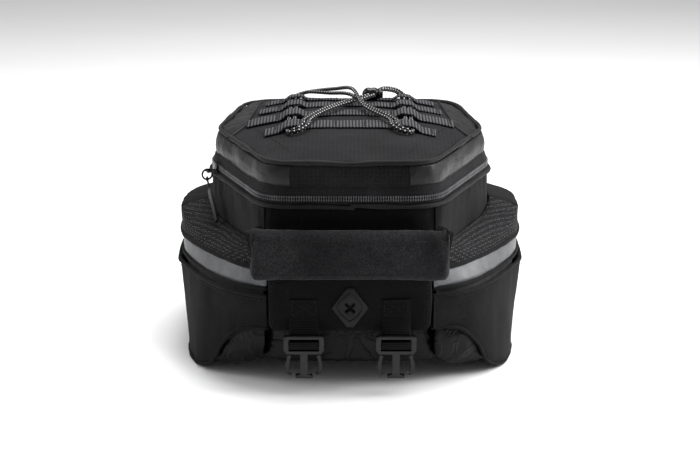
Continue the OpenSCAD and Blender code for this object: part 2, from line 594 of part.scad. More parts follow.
base_board();
base_tray();
front_wall();
rear_wall();
left_wall();
right_wall();
body_piping();
lower_zip_tape();
front_panel();
lash_tab();
strap_patches();
left_foam_core();
left_underside();
left_mesh();
left_top_panel();
left_stripe();
left_stripe_bindings();
left_side_panel();
right_foam_core();
right_underside();
right_mesh();
right_top_panel();
right_stripe();
right_stripe_bindings();
right_side_panel();
handle_sleeve();
handle_webbing();
lid_top();
lid_foam();
lid_band();
lid_piping();
upper_zip_tape();
lid_hinge_strip();
webbing_row_1();
webbing_row_2();
webbing_row_3();
webbing_row_4();
bungee();
cord_lock_barrel();
cord_lock_plunger();
cord_lock_spring();
zip_slider();
slider_ring();
pull_tab();
strap(-1, -1);  // front_left_strap
plug(-1, -1);  // front_left_plug
inner_arm(-1, -1);  // front_left_inner_arm
outer_arm(-1, -1);  // front_left_outer_arm
strap(1, -1);  // front_right_strap
plug(1, -1);  // front_right_plug
inner_arm(1, -1);  // front_right_inner_arm
outer_arm(1, -1);  // front_right_outer_arm
strap(-1, 1);  // rear_left_strap
plug(-1, 1);  // rear_left_plug
inner_arm(-1, 1);  // rear_left_inner_arm
outer_arm(-1, 1);  // rear_left_outer_arm
strap(1, 1);  // rear_right_strap
plug(1, 1);  // rear_right_plug
inner_arm(1, 1);  // rear_right_inner_arm
outer_arm(1, 1);  // rear_right_outer_arm
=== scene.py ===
import math

import bpy
from mathutils import Matrix, Vector, geometry, noise


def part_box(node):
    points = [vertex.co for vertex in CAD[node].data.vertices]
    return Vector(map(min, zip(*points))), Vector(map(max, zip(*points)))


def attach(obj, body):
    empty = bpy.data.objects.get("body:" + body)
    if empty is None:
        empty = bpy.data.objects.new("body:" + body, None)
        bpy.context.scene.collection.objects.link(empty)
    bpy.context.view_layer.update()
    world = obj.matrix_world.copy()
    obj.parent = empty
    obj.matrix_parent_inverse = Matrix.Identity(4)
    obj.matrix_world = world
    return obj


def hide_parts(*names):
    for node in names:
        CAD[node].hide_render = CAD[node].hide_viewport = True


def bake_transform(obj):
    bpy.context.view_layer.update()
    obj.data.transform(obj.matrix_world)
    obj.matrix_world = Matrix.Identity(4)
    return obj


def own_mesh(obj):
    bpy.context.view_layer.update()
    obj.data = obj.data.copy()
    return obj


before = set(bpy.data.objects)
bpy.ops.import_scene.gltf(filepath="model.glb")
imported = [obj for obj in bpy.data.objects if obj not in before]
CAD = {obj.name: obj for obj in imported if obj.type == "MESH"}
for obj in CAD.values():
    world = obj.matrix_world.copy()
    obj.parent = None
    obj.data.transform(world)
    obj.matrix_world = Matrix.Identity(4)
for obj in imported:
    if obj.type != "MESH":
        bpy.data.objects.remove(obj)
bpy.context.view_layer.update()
MM = 0.001

# ---- Camera ----

AIM = Vector((0, 0, 0.102))
ELEVATION = math.radians(16)
bpy.ops.object.camera_add(location=AIM + 1.5 * Vector((0, -math.cos(ELEVATION), math.sin(ELEVATION))),
                          rotation=(math.pi / 2 - ELEVATION, 0, 0))
camera = bpy.context.object
camera.data.lens = 82.9
camera.data.sensor_width = 36
bpy.context.scene.camera = camera


# ---- Materials ----

def linear(hex_colour):
    """An sRGB hex value as a linear colour."""
    parts = [int(hex_colour[i:i + 2], 16) / 255 for i in (1, 3, 5)]
    return tuple(c / 12.92 if c <= 0.04045 else ((c + 0.055) / 1.055) ** 2.4 for c in parts) + (1.0,)


def level(value):
    return (value, value, value, 1.0)


def node(tree, kind, sockets=None, stops=None, **settings):
    """Adds a shader node with its settings, its ramp stops, and values or links for its sockets."""
    made = tree.nodes.new("ShaderNode" + kind)
    for key, value in settings.items():
        setattr(made, key, value)
    if stops:
        elements = made.color_ramp.elements
        while len(elements) < len(stops):
            elements.new(1.0)
        for element, (place, colour) in zip(elements, stops):
            element.position = place
            element.color = colour
    for key, value in (sockets or {}).items():
        if isinstance(value, bpy.types.NodeSocket):
            tree.links.new(value, made.inputs[key])
        else:
            made.inputs[key].default_value = value
    return made


def begin(name, **principled):
    """A new material: its tree, its shader and the object coordinates that its patterns are laid on."""
    material = bpy.data.materials.new(name)
    material.use_nodes = True
    tree = material.node_tree
    shader = tree.nodes["Principled BSDF"]
    for key, value in principled.items():
        shader.inputs[key.replace("_", " ")].default_value = value
    return material, tree, shader, node(tree, "TexCoord").outputs["Object"]


def dyed(tree, place, size, dark, light):
    """The slow drift between two close tones that dye, dust and handling leave."""
    cloud = node(tree, "TexNoise", {"Vector": place, "Scale": 1 / (size * MM), "Detail": 4.0,
                                    "Roughness": 0.6}).outputs["Fac"]
    tones = [(0.36, linear(dark)), (0.64, linear(light))]
    return node(tree, "ValToRGB", {0: cloud}, stops=tones).outputs[0]


RIPSTOP_LINE = "#222225"  # the thicker threads of the grid


def woven(name, dark, light, thread=1.2, rough=0.85, sheen=0.25, depth=0.3, grid=None, stand=0):
    """Woven nylon: matt, grainy with thread, with a raised square grid where it is ripstop."""
    material, tree, shader, place = begin(name, Roughness=rough, Sheen_Weight=sheen * 0.12,
                                          Sheen_Roughness=0.4, Specular_IOR_Level=0.12)
    tone = dyed(tree, place, 55, dark, light)
    grain = node(tree, "TexNoise", {"Vector": place, "Scale": 1 / (thread * MM),
                                    "Detail": 2.0}).outputs["Fac"]
    flecks = node(tree, "ValToRGB", {0: grain}, stops=[(0.35, level(0.3)), (0.65, level(1.0))]).outputs[0]
    tone = node(tree, "Mix", {0: 0.8, 6: tone, 7: flecks}, data_type="RGBA", blend_type="MULTIPLY").outputs[2]
    normal = node(tree, "Bump", {"Height": grain, "Distance": depth * MM, "Strength": 0.7}).outputs[0]
    if grid:
        laid = node(tree, "Mapping", {"Vector": place, "Rotation": (math.radians(stand), 0, 0)}).outputs[0]
        cells = node(tree, "TexVoronoi", {"Vector": laid, "Scale": 1 / (grid * MM), "Randomness": 0.0},
                     voronoi_dimensions="2D", distance="CHEBYCHEV")
        lines = node(tree, "ValToRGB", {0: cells.outputs["Distance"]},
                     stops=[(0.40, level(0)), (0.5, level(1))]).outputs[0]
        normal = node(tree, "Bump", {"Height": lines, "Distance": 0.25 * MM, "Strength": 0.6,
                                     "Normal": normal}).outputs[0]
        tone = node(tree, "Mix", {0: lines, 6: tone, 7: linear(RIPSTOP_LINE)}, data_type="RGBA").outputs[2]
    tree.links.new(tone, shader.inputs["Base Color"])
    tree.links.new(normal, shader.inputs["Normal"])
    return material


def coated(name, dark, light, gloss, matt, crease=14, depth=0.8, shine=0.32):
    """Coated fabric, calendered: a soft shine broken by sharp creases over a fine pebble."""
    material, tree, shader, place = begin(name, Specular_IOR_Level=shine)
    tree.links.new(dyed(tree, place, 45, dark, light), shader.inputs["Base Color"])
    folds = node(tree, "TexNoise", {"Vector": place, "Scale": 1 / (crease * MM), "Detail": 3.0,
                                    "Distortion": 0.8})
    ridge = node(tree, "Math", {0: folds.outputs["Fac"], 1: 0.5}, operation="SUBTRACT").outputs[0]
    ridge = node(tree, "Math", {0: ridge}, operation="ABSOLUTE").outputs[0]
    ridge = node(tree, "ValToRGB", {0: ridge},
                 stops=[(0.0, level(1)), (0.04, level(0.3)), (0.16, level(0))]).outputs[0]
    pebble = node(tree, "TexVoronoi", {"Vector": place, "Scale": 1 / (1.2 * MM)}).outputs["Distance"]
    normal = node(tree, "Bump", {"Height": ridge, "Distance": depth * MM, "Strength": 0.35}).outputs[0]
    normal = node(tree, "Bump", {"Height": pebble, "Distance": 0.12 * MM, "Strength": 0.4,
                                 "Normal": normal}).outputs[0]
    tree.links.new(normal, shader.inputs["Normal"])
    rough = node(tree, "MapRange", {0: folds.outputs["Fac"], 1: 0.3, 2: 0.7, 3: gloss, 4: matt}).outputs[0]
    tree.links.new(rough, shader.inputs["Roughness"])
    return material


KNOT_PITCH = 2.4  # in mm


def knitted(name, turn):
    """Spacer mesh, knitted: rows of small pale knots over dark holes."""
    material, tree, shader, place = begin(name, Roughness=0.75, Specular_IOR_Level=0.15)
    laid = node(tree, "Mapping", {"Vector": place, "Rotation": (0, 0, math.radians(turn))}).outputs[0]
    cells = node(tree, "TexVoronoi", {"Vector": laid, "Scale": 1 / (KNOT_PITCH * MM),
                                      "Randomness": 0.25}).outputs["Distance"]
    knots = node(tree, "ValToRGB", {0: cells},
                 stops=[(0.12, level(1)), (0.32, level(0.35)), (0.55, level(0))]).outputs[0]
    tone = node(tree, "ValToRGB", {0: knots}, stops=[(0.0, linear("#0a0a0b")), (0.45, linear("#2a2a2c")),
                                                     (1.0, linear("#5e5e62"))]).outputs[0]
    tree.links.new(tone, shader.inputs["Base Color"])
    normal = node(tree, "Bump", {"Height": knots, "Distance": 0.8 * MM, "Strength": 0.8}).outputs[0]
    tree.links.new(normal, shader.inputs["Normal"])
    return material


def ribbed(name, axis, pitch, dark, light, shine=0.2):
    """Woven webbing: ribs across its length, each crown coloured pale as a painted highlight and the line
    beside it dark as painted shade.
    """
    material, tree, shader, place = begin(name, Roughness=0.7, Specular_IOR_Level=shine)
    along = node(tree, "SeparateXYZ", {0: place}).outputs[axis]
    turn = node(tree, "Math", {0: along, 1: 2 * math.pi / (pitch * MM)}, operation="MULTIPLY").outputs[0]
    wave = node(tree, "Math", {0: turn}, operation="SINE").outputs[0]
    rib = node(tree, "MapRange", {0: wave, 1: -1.0, 2: 1.0}).outputs[0]
    fuzz = node(tree, "TexNoise", {"Vector": place, "Scale": 1 / (0.9 * MM), "Detail": 2.0}).outputs["Fac"]
    # Rib crowns coloured pale as painted highlights, the lines between them dark as painted shade.
    rib_highlight_and_shade = node(tree, "Math", {0: rib, 1: fuzz}, operation="MULTIPLY").outputs[0]
    tone = node(tree, "ValToRGB", {0: rib_highlight_and_shade}, stops=[(0.05, linear(dark)), (0.6, linear(light))]).outputs[0]
    tree.links.new(tone, shader.inputs["Base Color"])
    normal = node(tree, "Bump", {"Height": rib, "Distance": 0.35 * MM, "Strength": 0.8}).outputs[0]
    normal = node(tree, "Bump", {"Height": fuzz, "Distance": 0.15 * MM, "Strength": 0.5,
                                 "Normal": normal}).outputs[0]
    tree.links.new(normal, shader.inputs["Normal"])
    return material


def moulded(name, dark, light, rough, grain, depth, **principled):
    """A moulded, cast or drawn finish: close tones and the fine grain of its tool or its coat."""
    material, tree, shader, place = begin(name, **principled)
    tree.links.new(dyed(tree, place, 12, dark, light), shader.inputs["Base Color"])
    skin = node(tree, "TexNoise", {"Vector": place, "Scale": 1 / (grain * MM), "Detail": 3.0}).outputs["Fac"]
    tree.links.new(node(tree, "Bump", {"Height": skin, "Distance": depth * MM, "Strength": 0.5}).outputs[0],
                   shader.inputs["Normal"])
    worn = node(tree, "MapRange", {0: skin, 1: 0.3, 2: 0.7, 3: rough - 0.06, 4: rough + 0.06}).outputs[0]
    tree.links.new(worn, shader.inputs["Roughness"])
    return material


def braided(name, dark, light, pitch):
    """Braided polyester sheath over elastic: dark strands and a pale tracer that crosses them in dashes."""
    material, tree, shader, _ = begin(name, Roughness=0.55, Sheen_Weight=0.05, Specular_IOR_Level=0.2)
    part = node(tree, "SeparateXYZ", {0: node(tree, "UVMap", uv_map="lay").outputs[0]})
    around = node(tree, "Math", {0: part.outputs["X"], 1: 4 * math.pi}, operation="MULTIPLY").outputs[0]
    along = node(tree, "Math", {0: part.outputs["Y"], 1: 2 * math.pi / (pitch * MM)},
                 operation="MULTIPLY").outputs[0]
    one = node(tree, "Math", {0: around, 1: along}, operation="ADD").outputs[0]
    other = node(tree, "Math", {0: around, 1: along}, operation="SUBTRACT").outputs[0]
    one = node(tree, "Math", {0: one}, operation="SINE").outputs[0]
    other = node(tree, "Math", {0: other}, operation="SINE").outputs[0]
    strands = node(tree, "Math", {0: one, 1: other}, operation="MULTIPLY").outputs[0]
    dashes = node(tree, "Math", {0: one, 1: other}, operation="ADD").outputs[0]
    dashes = node(tree, "Math", {0: dashes, 1: 0.5}, operation="MULTIPLY").outputs[0]
    tone = node(tree, "ValToRGB", {0: dashes}, stops=[(0.68, linear(dark)), (0.86, linear(light))]).outputs[0]
    tree.links.new(tone, shader.inputs["Base Color"])
    tree.links.new(node(tree, "Bump", {"Height": strands, "Distance": 0.25 * MM, "Strength": 0.8}).outputs[0],
                   shader.inputs["Normal"])
    return material


# Ripstop nylon, woven: matt charcoal with a faint raised grid.
RIPSTOP = woven("ripstop_nylon_woven", "#111113", "#1b1b1d", rough=0.8, sheen=0.3, depth=0.45, grid=3.6)
BAND_RIPSTOP = woven("band_ripstop_nylon_woven", "#161617", "#222223", depth=0.45, grid=3.6, stand=-90)
# High-tenacity nylon, woven coarse: deep black that shows its grain only in raking light.
WALL_NYLON = woven("wall_nylon_woven", "#171718", "#232324", sheen=0.25, depth=0.4)
# A darker copy of the wall nylon for the recessed front wall: painted shade where the wall lies back under
# the lid and behind the handle.
SHADED_RECESS_NYLON = woven("recess_nylon_woven_painted_shade", "#0b0b0c", "#131314", sheen=0.1)
PANEL_NYLON = woven("panel_nylon_woven", "#08080a", "#101011", sheen=0.15)
SIDE_NYLON = woven("side_nylon_woven", "#101011", "#1b1b1c", sheen=0.2, depth=0.4)
HANDLE_NYLON = woven("handle_nylon_woven", "#1d1d1f", "#2f2f31", thread=1.6, sheen=0.35, depth=0.6)
LINING = woven("lining_nylon_woven", "#303034", "#3c3c40", thread=0.9, rough=0.7)
# Polyurethane-coated polyester, calendered: a soft broad shine, broken by creases.
LEATHERETTE = coated("coated_polyester_calendered", "#101011", "#19191a", 0.38, 0.48,
                     crease=30, depth=0.6, shine=0.22)
BASE_LEATHERETTE = coated("base_coated_polyester_calendered", "#050506", "#0b0b0c", 0.24, 0.38,
                          crease=26, depth=1.6, shine=0.12)
# Spacer mesh, knitted: pale knots over dark holes. Its real 1.5 mm pitch is drawn at 2.4 mm so that it shows.
MESH = {"right": knitted("right_spacer_mesh_knitted", -32), "left": knitted("left_spacer_mesh_knitted", 32)}
# Glass-bead tape, laminated: flat pale grey, a little metallic.
REFLECTIVE = moulded("glass_bead_tape_laminated", "#505153", "#5e5f61", 0.5, 1.2, 0.08, Metallic=0.25)
# Narrow polyester tape, woven and folded over an edge: near black, fine grained.
BINDING = woven("binding_tape_woven", "#0d0d0e", "#181819", thread=0.9, rough=0.8, depth=0.15)
PIPING = woven("piping_cloth_woven", "#1b1b1c", "#29292b", thread=0.9, rough=0.65, sheen=0.3, depth=0.12)
ZIP_TAPE = woven("zip_tape_woven", "#19191a", "#262628", thread=0.9, rough=0.8, depth=0.15)
# Nylon monofilament, coiled: smooth, each turn with its own small highlight.
COIL = moulded("nylon_coil_drawn", "#38383b", "#565659", 0.32, 0.8, 0.03)
# Polyester webbing, woven: each rib carries a painted highlight on its crown and painted shade beside it.
# The rows' 2 mm ribs are drawn at 2.9 mm so that they show.
ROW_WEBBING = ribbed("row_webbing_woven", "X", 2.9, "#070708", "#56565a")
STRAP_WEBBING = ribbed("strap_webbing_woven", "Z", 2.0, "#030304", "#101011", shine=0.1)
HIDDEN_WEBBING = ribbed("handle_webbing_woven", "X", 2.3, "#111112", "#333335")
# Bonded nylon thread, twisted: slightly paler than the cloth, with a waxy shine.
THREAD = moulded("bonded_thread_twisted", "#111112", "#1e1e20", 0.5, 0.5, 0.05, Specular_IOR_Level=0.15)
# Acetal, injection moulded: smooth satin black.
ACETAL = moulded("acetal_moulded", "#060607", "#0b0b0c", 0.24, 0.5, 0.03, Specular_IOR_Level=0.3)
# Thermoplastic rubber, moulded: black with a soft dull skin.
RUBBER = moulded("rubber_moulded", "#0b0b0c", "#121213", 0.5, 0.7, 0.05, Specular_IOR_Level=0.2)
# Zinc, die cast and lacquered: dark with a metallic edge.
LACQUER = moulded("zinc_die_cast_lacquered", "#232324", "#333335", 0.3, 0.6, 0.02, Metallic=0.8)
CORD = braided("polyester_sheath_braided", "#0c0c0d", "#e0e0e2", 4.0)
# Closed-cell foam, skived: dull grey with small pits.
FOAM = moulded("closed_cell_foam_skived", "#3a3a3c", "#4a4a4c", 0.85, 0.8, 0.2)
BOARD = moulded("polyethylene_board_rolled", "#2a2a2b", "#343435", 0.5, 0.6, 0.04)
SPRING = moulded("spring_wire_drawn", "#8a8a8c", "#a0a0a2", 0.3, 0.6, 0.02, Metallic=1.0)


# ---- Modelling helpers ----

def alone(obj):
    bpy.ops.object.select_all(action="DESELECT")
    obj.select_set(True)
    bpy.context.view_layer.objects.active = obj


def modify(obj, kind, **settings):
    """Adds one modifier and applies it."""
    alone(obj)
    bpy.ops.object.modifier_add(type=kind)
    made = obj.modifiers[-1]
    for key, value in settings.items():
        setattr(made, key, value)
    bpy.ops.object.modifier_apply(modifier=made.name)
    return obj


def taken(cad_node, name, flat=False):
    """A welded copy of a CAD node's shape: quads for cloth, or whole flat faces for a moulded part."""
    obj = bpy.data.objects.new(name, CAD[cad_node].data.copy())
    bpy.context.scene.collection.objects.link(obj)
    obj.data.materials.clear()
    alone(obj)
    bpy.ops.mesh.customdata_custom_splitnormals_clear()
    bpy.ops.object.mode_set(mode="EDIT")
    bpy.ops.mesh.select_all(action="SELECT")
    bpy.ops.mesh.remove_doubles(threshold=0.02 * MM)
    if flat:
        bpy.ops.mesh.dissolve_limited(angle_limit=math.radians(4))
    else:
        bpy.ops.mesh.tris_convert_to_quads(face_threshold=math.radians(40), shape_threshold=math.radians(80))
    bpy.ops.object.mode_set(mode="OBJECT")
    return obj


def softened(obj, levels, sharp=48, hold=0.75):
    """Subdivides a cloth piece, holding the edges that turn by more than `sharp` degrees."""
    alone(obj)
    bpy.ops.object.mode_set(mode="EDIT")
    bpy.ops.mesh.select_mode(type="EDGE")
    bpy.ops.mesh.select_all(action="DESELECT")
    bpy.ops.mesh.edges_select_sharp(sharpness=math.radians(sharp))
    bpy.ops.transform.edge_crease(value=hold)
    bpy.ops.object.mode_set(mode="OBJECT")
    return modify(obj, "SUBSURF", levels=levels, render_levels=levels)


def rumpled(obj, depth, size, seed=0, where=None, stretch=(1, 1, 1)):
    """Moves points along their normals by smooth noise, as slack cloth lies; where(point) gives the share."""
    moved = []
    for vertex in obj.data.vertices:
        at = Vector([c * s for c, s in zip(vertex.co, stretch)]) / (size * MM) + Vector((seed * 7.3,) * 3)
        share = where(vertex.co) if where else 1.0
        moved.append(vertex.co + vertex.normal * (noise.fractal(at, 1.0, 2.0, 3) * depth * MM * share))
    for vertex, place in zip(obj.data.vertices, moved):
        vertex.co = place
    return obj


def dressed(obj, materials, body, replaced=(), choose=None, smooth=None):
    """Gives a piece its materials, its body and the CAD nodes that it stands for."""
    for material in materials if isinstance(materials, (list, tuple)) else [materials]:
        obj.data.materials.append(material)
    if choose:
        for face in obj.data.polygons:
            face.material_index = choose(face.center)
    alone(obj)
    if smooth:
        bpy.ops.object.shade_smooth_by_angle(angle=math.radians(smooth))
    else:
        bpy.ops.object.shade_smooth()
    if body:
        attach(obj, body)
    if replaced:
        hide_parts(*replaced)
    return obj


def even(line, step, closed=False):
    """Points at equal steps along a line."""
    line = [Vector(p) for p in line] + ([Vector(line[0])] if closed else [])
    runs = [0.0]
    for a, b in zip(line, line[1:]):
        runs.append(runs[-1] + (b - a).length)
    count = max(2, round(runs[-1] / step))
    places, at = [], 0
    for i in range(count if closed else count + 1):
        want = runs[-1] * i / count
        while at < len(runs) - 2 and runs[at + 1] < want:
            at += 1
        span = runs[at + 1] - runs[at]
        places.append(line[at].lerp(line[at + 1], (want - runs[at]) / span if span else 0.0))
    return places


def eased(line, rounds=2, closed=False):
    """The same line with its corners cut, so that it bends smoothly."""
    for _ in range(rounds):
        ends = list(zip(line, line[1:] + line[:1])) if closed else list(zip(line, line[1:]))
        cut = [p for a, b in ends for p in (a.lerp(b, 0.25), a.lerp(b, 0.75))]
        line = cut if closed else [line[0]] + cut + [line[-1]]
    return line


def rounded_off(piece, width, sharp=40, segments=3):
    """Rounds a piece's edges that turn by more than sharp degrees, to a width in mm."""
    modify(piece, "BEVEL", width=width * MM, segments=segments, limit_method="ANGLE",
           angle_limit=math.radians(sharp))


def swept(name, line, section, closed=False, size=None, up=Vector((0, 0, 1)), outward=None):
    """A section of (across, over) offsets drawn along a line, with size(share) scaling each.

    The UV map `lay` runs round the section and along the line."""
    count, sides = len(line), len(section)
    points, runs = [], [0.0]
    for i, p in enumerate(line):
        if i:
            runs.append(runs[-1] + (p - line[i - 1]).length)
        back = line[i - 1] if i or closed else p
        ahead = line[(i + 1) % count] if i + 1 < count or closed else p
        along = (ahead - back).normalized()
        over = outward(p).normalized() if outward else up
        across = along.cross(over).normalized()
        over = across.cross(along)
        wide, thick = size(i / (count - 1)) if size else (1, 1)
        points += [p + across * (a * wide) + over * (b * thick) for a, b in section]
    runs.append(runs[-1] + (line[0] - line[-1]).length)
    faces, lay = [], []
    for i in range(count if closed else count - 1):
        for k in range(sides):
            a, b, n = i * sides, ((i + 1) % count) * sides, (k + 1) % sides
            faces.append((a + k, a + n, b + n, b + k))
            here, there = k / sides, (k + 1) / sides
            lay += [(here, runs[i]), (there, runs[i]), (there, runs[i + 1]), (here, runs[i + 1])]
    if not closed:
        for ring in (range(sides - 1, -1, -1), range((count - 1) * sides, count * sides)):
            faces.append(tuple(ring))
            lay += [(0, 0)] * sides
    mesh = bpy.data.meshes.new(name)
    mesh.from_pydata(points, [], faces)
    layer = mesh.uv_layers.new(name="lay")
    layer.data.foreach_set("uv", [c for uv in lay for c in uv])
    obj = bpy.data.objects.new(name, mesh)
    bpy.context.scene.collection.objects.link(obj)
    alone(obj)
    bpy.ops.object.mode_set(mode="EDIT")
    bpy.ops.mesh.select_all(action="SELECT")
    bpy.ops.mesh.normals_make_consistent(inside=False)
    bpy.ops.object.mode_set(mode="OBJECT")
    return obj


def round_section(radius, sides=10, flat=1.0):
    return [(radius * math.cos(2 * math.pi * k / sides), radius * flat * math.sin(2 * math.pi * k / sides))
            for k in range(sides)]


def flat_section(width, thick):
    """A strip's section, with its long edges rounded."""
    w, t = width / 2, thick / 2
    return [(-w, -t * 0.4), (-w + t, -t), (-w / 3, -t), (w / 3, -t), (w - t, -t), (w, -t * 0.4),
            (w, t * 0.4), (w - t, t), (w / 3, t), (-w / 3, t), (-w + t, t), (-w, t * 0.4)]


def primitive(kind, name, **settings):
    bpy.ops.object.select_all(action="DESELECT")
    getattr(bpy.ops.mesh, "primitive_" + kind + "_add")(**settings)
    obj = bpy.context.object
    obj.name = name
    return obj


def repeated(name, pattern, placings):
    """One mesh that holds a copy of the pattern's mesh at each placing; the pattern itself is used up."""
    points, faces = [], []
    shape = [v.co.copy() for v in pattern.data.vertices]
    sides = [tuple(p.vertices) for p in pattern.data.polygons]
    for placing in placings:
        base = len(points)
        points += [placing @ p for p in shape]
        faces += [tuple(base + i for i in side) for side in sides]
    mesh = bpy.data.meshes.new(name)
    mesh.from_pydata(points, [], faces)
    obj = bpy.data.objects.new(name, mesh)
    bpy.context.scene.collection.objects.link(obj)
    bpy.data.objects.remove(pattern)
    return obj


def placed(at, along, out):
    """A placing with X along a line and Z out of the surface."""
    along = along.normalized()
    side = out.cross(along).normalized()
    out = along.cross(side)
    turn = Matrix((along, side, out)).transposed().to_4x4()
    return Matrix.Translation(at) @ turn


def sewn(name, lines, body, out, long=2.7, gap=1.1, thick=0.7):
    """Rows of stitches along lines, each a small rounded dash; out(point) is the way the cloth faces."""
    dash = primitive("uv_sphere", "dash", segments=6, ring_count=4, radius=0.5)
    alone(dash)
    bpy.ops.object.mode_set(mode="EDIT")
    bpy.ops.mesh.select_all(action="SELECT")
    bpy.ops.transform.resize(value=(long * MM, thick * MM, thick * 0.7 * MM))
    bpy.ops.object.mode_set(mode="OBJECT")
    placings = []
    for line in lines:
        steps = even(line, (long + gap) * MM)
        placings += [placed((a + b) / 2, b - a, out((a + b) / 2)) for a, b in zip(steps, steps[1:])]
    return dressed(repeated(name, dash, placings), THREAD, body)


# ---- Places taken from the frame ----

def flat_hull(cad_node, axis, place, reach=0.2):
    """The convex outline of a CAD node's points that lie at `place` on one axis, in the other two."""
    keep = [i for i in range(3) if i != axis]
    near = {(round(v.co[keep[0]], 6), round(v.co[keep[1]], 6)) for v in CAD[cad_node].data.vertices
            if abs(v.co[axis] - place) < reach * MM}
    near = [Vector(p) for p in sorted(near)]
    return [near[i] for i in geometry.convex_hull_2d(near)]


def centred(line, start):
    """A closed line turned round its list so that it begins at its point nearest to start."""
    first = min(range(len(line)), key=lambda i: (line[i] - start).length)
    return line[first:] + line[:first]


low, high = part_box("lid_piping")
CORD_R = (high[2] - low[2]) / 2
EDGE_Z = (high[2] + low[2]) / 2
OUTSET = 2.4 * MM
LID_HALF = high[0] - OUTSET
MID_Y = (high[1] + low[1]) / 2
REACH = (high[1] - low[1]) / 2 - OUTSET
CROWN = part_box("lid_top")[1][2] - EDGE_Z
OUTLINE = [Vector((p.x * LID_HALF / (LID_HALF + OUTSET), MID_Y + (p.y - MID_Y) * REACH / (REACH + OUTSET)))
           for p in flat_hull("lid_piping", 2, EDGE_Z)]
ROUND = 480
FRONT = centred(even(eased([p.to_3d() for p in OUTLINE], 1, closed=True), 0.0001, closed=True),
                Vector((0, -1, 0)))
TURN = [FRONT[i * len(FRONT) // ROUND] for i in range(ROUND)]


def ring(side, ends, z, share=1.0):
    """The shared outline at height z, grown at the sides and the ends, all in mm.

    A share below 1 shrinks it to the middle."""
    wide, deep = share * (1 + side * MM / LID_HALF), share * (1 + ends * MM / REACH)
    return [Vector((p.x * wide, MID_Y + (p.y - MID_Y) * deep, z * MM)) for p in TURN]


DOME_POWER = 2.2


def crest(share):
    """The dome's height in mm over the outline that a share of ring() gives."""
    return (EDGE_Z + CROWN * (1 - share ** DOME_POWER)) / MM


def gauge(x, y):
    """How far out a place lies: 0 in the middle, 1 on the lid's edge."""
    best = 0.0
    for a, b in zip(OUTLINE, OUTLINE[1:] + OUTLINE[:1]):
        n = Vector((b.y - a.y, a.x - b.x))
        best = max(best, (n.x * x + n.y * (y - MID_Y)) / (n.x * a.x + n.y * (a.y - MID_Y)))
    return best


def dome(x, y):
    return EDGE_Z + CROWN * (1 - min(1.0, gauge(x, y)) ** DOME_POWER)


def dome_out(p):
    step = 4 * MM
    return Vector((dome(p.x - step, p.y) - dome(p.x + step, p.y),
                   dome(p.x, p.y - step) - dome(p.x, p.y + step), 2 * step))


def outwards(p):
    return Vector((p.x, p.y - MID_Y, 0))


def lofted(name, rings, loop=False):
    """A closed skin over rings of equal count. Loop joins the last to the first, or both ends are capped."""
    count = len(rings[0])
    faces = []
    for k in range(len(rings) if loop else len(rings) - 1):
        low_ring, high_ring = k * count, ((k + 1) % len(rings)) * count
        faces += [(low_ring + i, low_ring + (i + 1) % count, high_ring + (i + 1) % count, high_ring + i)
                  for i in range(count)]
    if not loop:
        faces += [tuple(range(count - 1, -1, -1)), tuple(range((len(rings) - 1) * count, len(rings) * count))]
    mesh = bpy.data.meshes.new(name)
    mesh.from_pydata([p for one in rings for p in one], [], faces)
    obj = bpy.data.objects.new(name, mesh)
    bpy.context.scene.collection.objects.link(obj)
    alone(obj)
    bpy.ops.object.mode_set(mode="EDIT")
    bpy.ops.mesh.select_all(action="SELECT")
    bpy.ops.mesh.normals_make_consistent(inside=False)
    bpy.ops.object.mode_set(mode="OBJECT")
    return obj


def steps(a, b, count):
    return [a + (b - a) * i / count for i in range(count + 1)]


def bump_at(value, centre, spread):
    return math.exp(-((value - centre) / spread) ** 2)


# ---- Lid ----

def in_corner(p):
    """Whether a place on the lid's top is in one of its coated side panels."""
    x, y = abs(p.x) / MM, p.y / MM
    return x > (94 - 0.06 * (y + 2) if y > -2 else 94 - 0.63 * (y + 2))


EDGE = EDGE_Z / MM
SHARES = [1 - 0.022 * i for i in range(44)]
top_rings = [ring(-1.8, -1.8, crest(s), s) for s in SHARES]
under_rings = [ring(-1.8, -1.8, crest(s) - 2, s) for s in (0.1, 0.5, 0.9, 1)]
lid_cloth = lofted("lid_cloth", under_rings + top_rings)
rumpled(lid_cloth, 1.5, 42, seed=1,
        where=lambda p: 0.8 if in_corner(p) else 0.45 + 0.5 * bump_at(p.y, -0.09, 0.03))
rumpled(lid_cloth, 1.3, 9, seed=2, where=lambda p: 1.0 if in_corner(p) else 0.08, stretch=(1.6, 0.5, 1))
dressed(lid_cloth, [RIPSTOP, LEATHERETTE], "lid", ["lid_top"], choose=lambda p: int(in_corner(p)))

lining = lofted("lid_lining", [ring(-5, -5, crest(s) - 8.3, s)
                               for s in (0.04, 0.2, 0.4, 0.6, 0.75, 0.88, 0.96)]
                + [ring(-5, -5, EDGE - 7.3), ring(-5, -5, EDGE - 3.5)]
                + [ring(-5, -5, crest(s) - 2.5, s) for s in (0.95, 0.8, 0.6, 0.3, 0.04)])
rumpled(lining, 1.2, 30, seed=3, where=lambda p: 0.4)
dressed(lining, LINING, "lid", ["lid_foam"])

BAND_SEAM = 50 * MM
BAND_BACK = 55 * MM
band_profile = [(4.4, 0.6, 178.3), (5.2, 1.6, 181), (5.3, 2.1, 184), (5.1, 2.3, 187), (4.4, 2.2, 190),
                (3.5, 1.9, 193), (2.2, 1.4, EDGE - 2.7), (-0.8, -1.8, EDGE - 2.6), (1.6, -1.3, 187),
                (2, -2, 178.3)]
BAND_FACE = 7  # how many of them are on the outside
band_fine = [tuple(a + (b - a) * t for a, b in zip(p, q))
             for p, q in zip(band_profile, band_profile[1:]) for t in (0, 0.5)]
band = lofted("lid_band", [ring(*p) for p in band_fine + [band_profile[-1]]], loop=True)
rumpled(band, 1.0, 26, seed=4)
rumpled(band, 0.9, 8, seed=5, stretch=(1, 1, 0.35),
        where=lambda p: 0.8 if abs(p.x) < BAND_SEAM and p.y < 0 else 0.12 + 0.45 * bump_at(p.y, -0.05, 0.03))


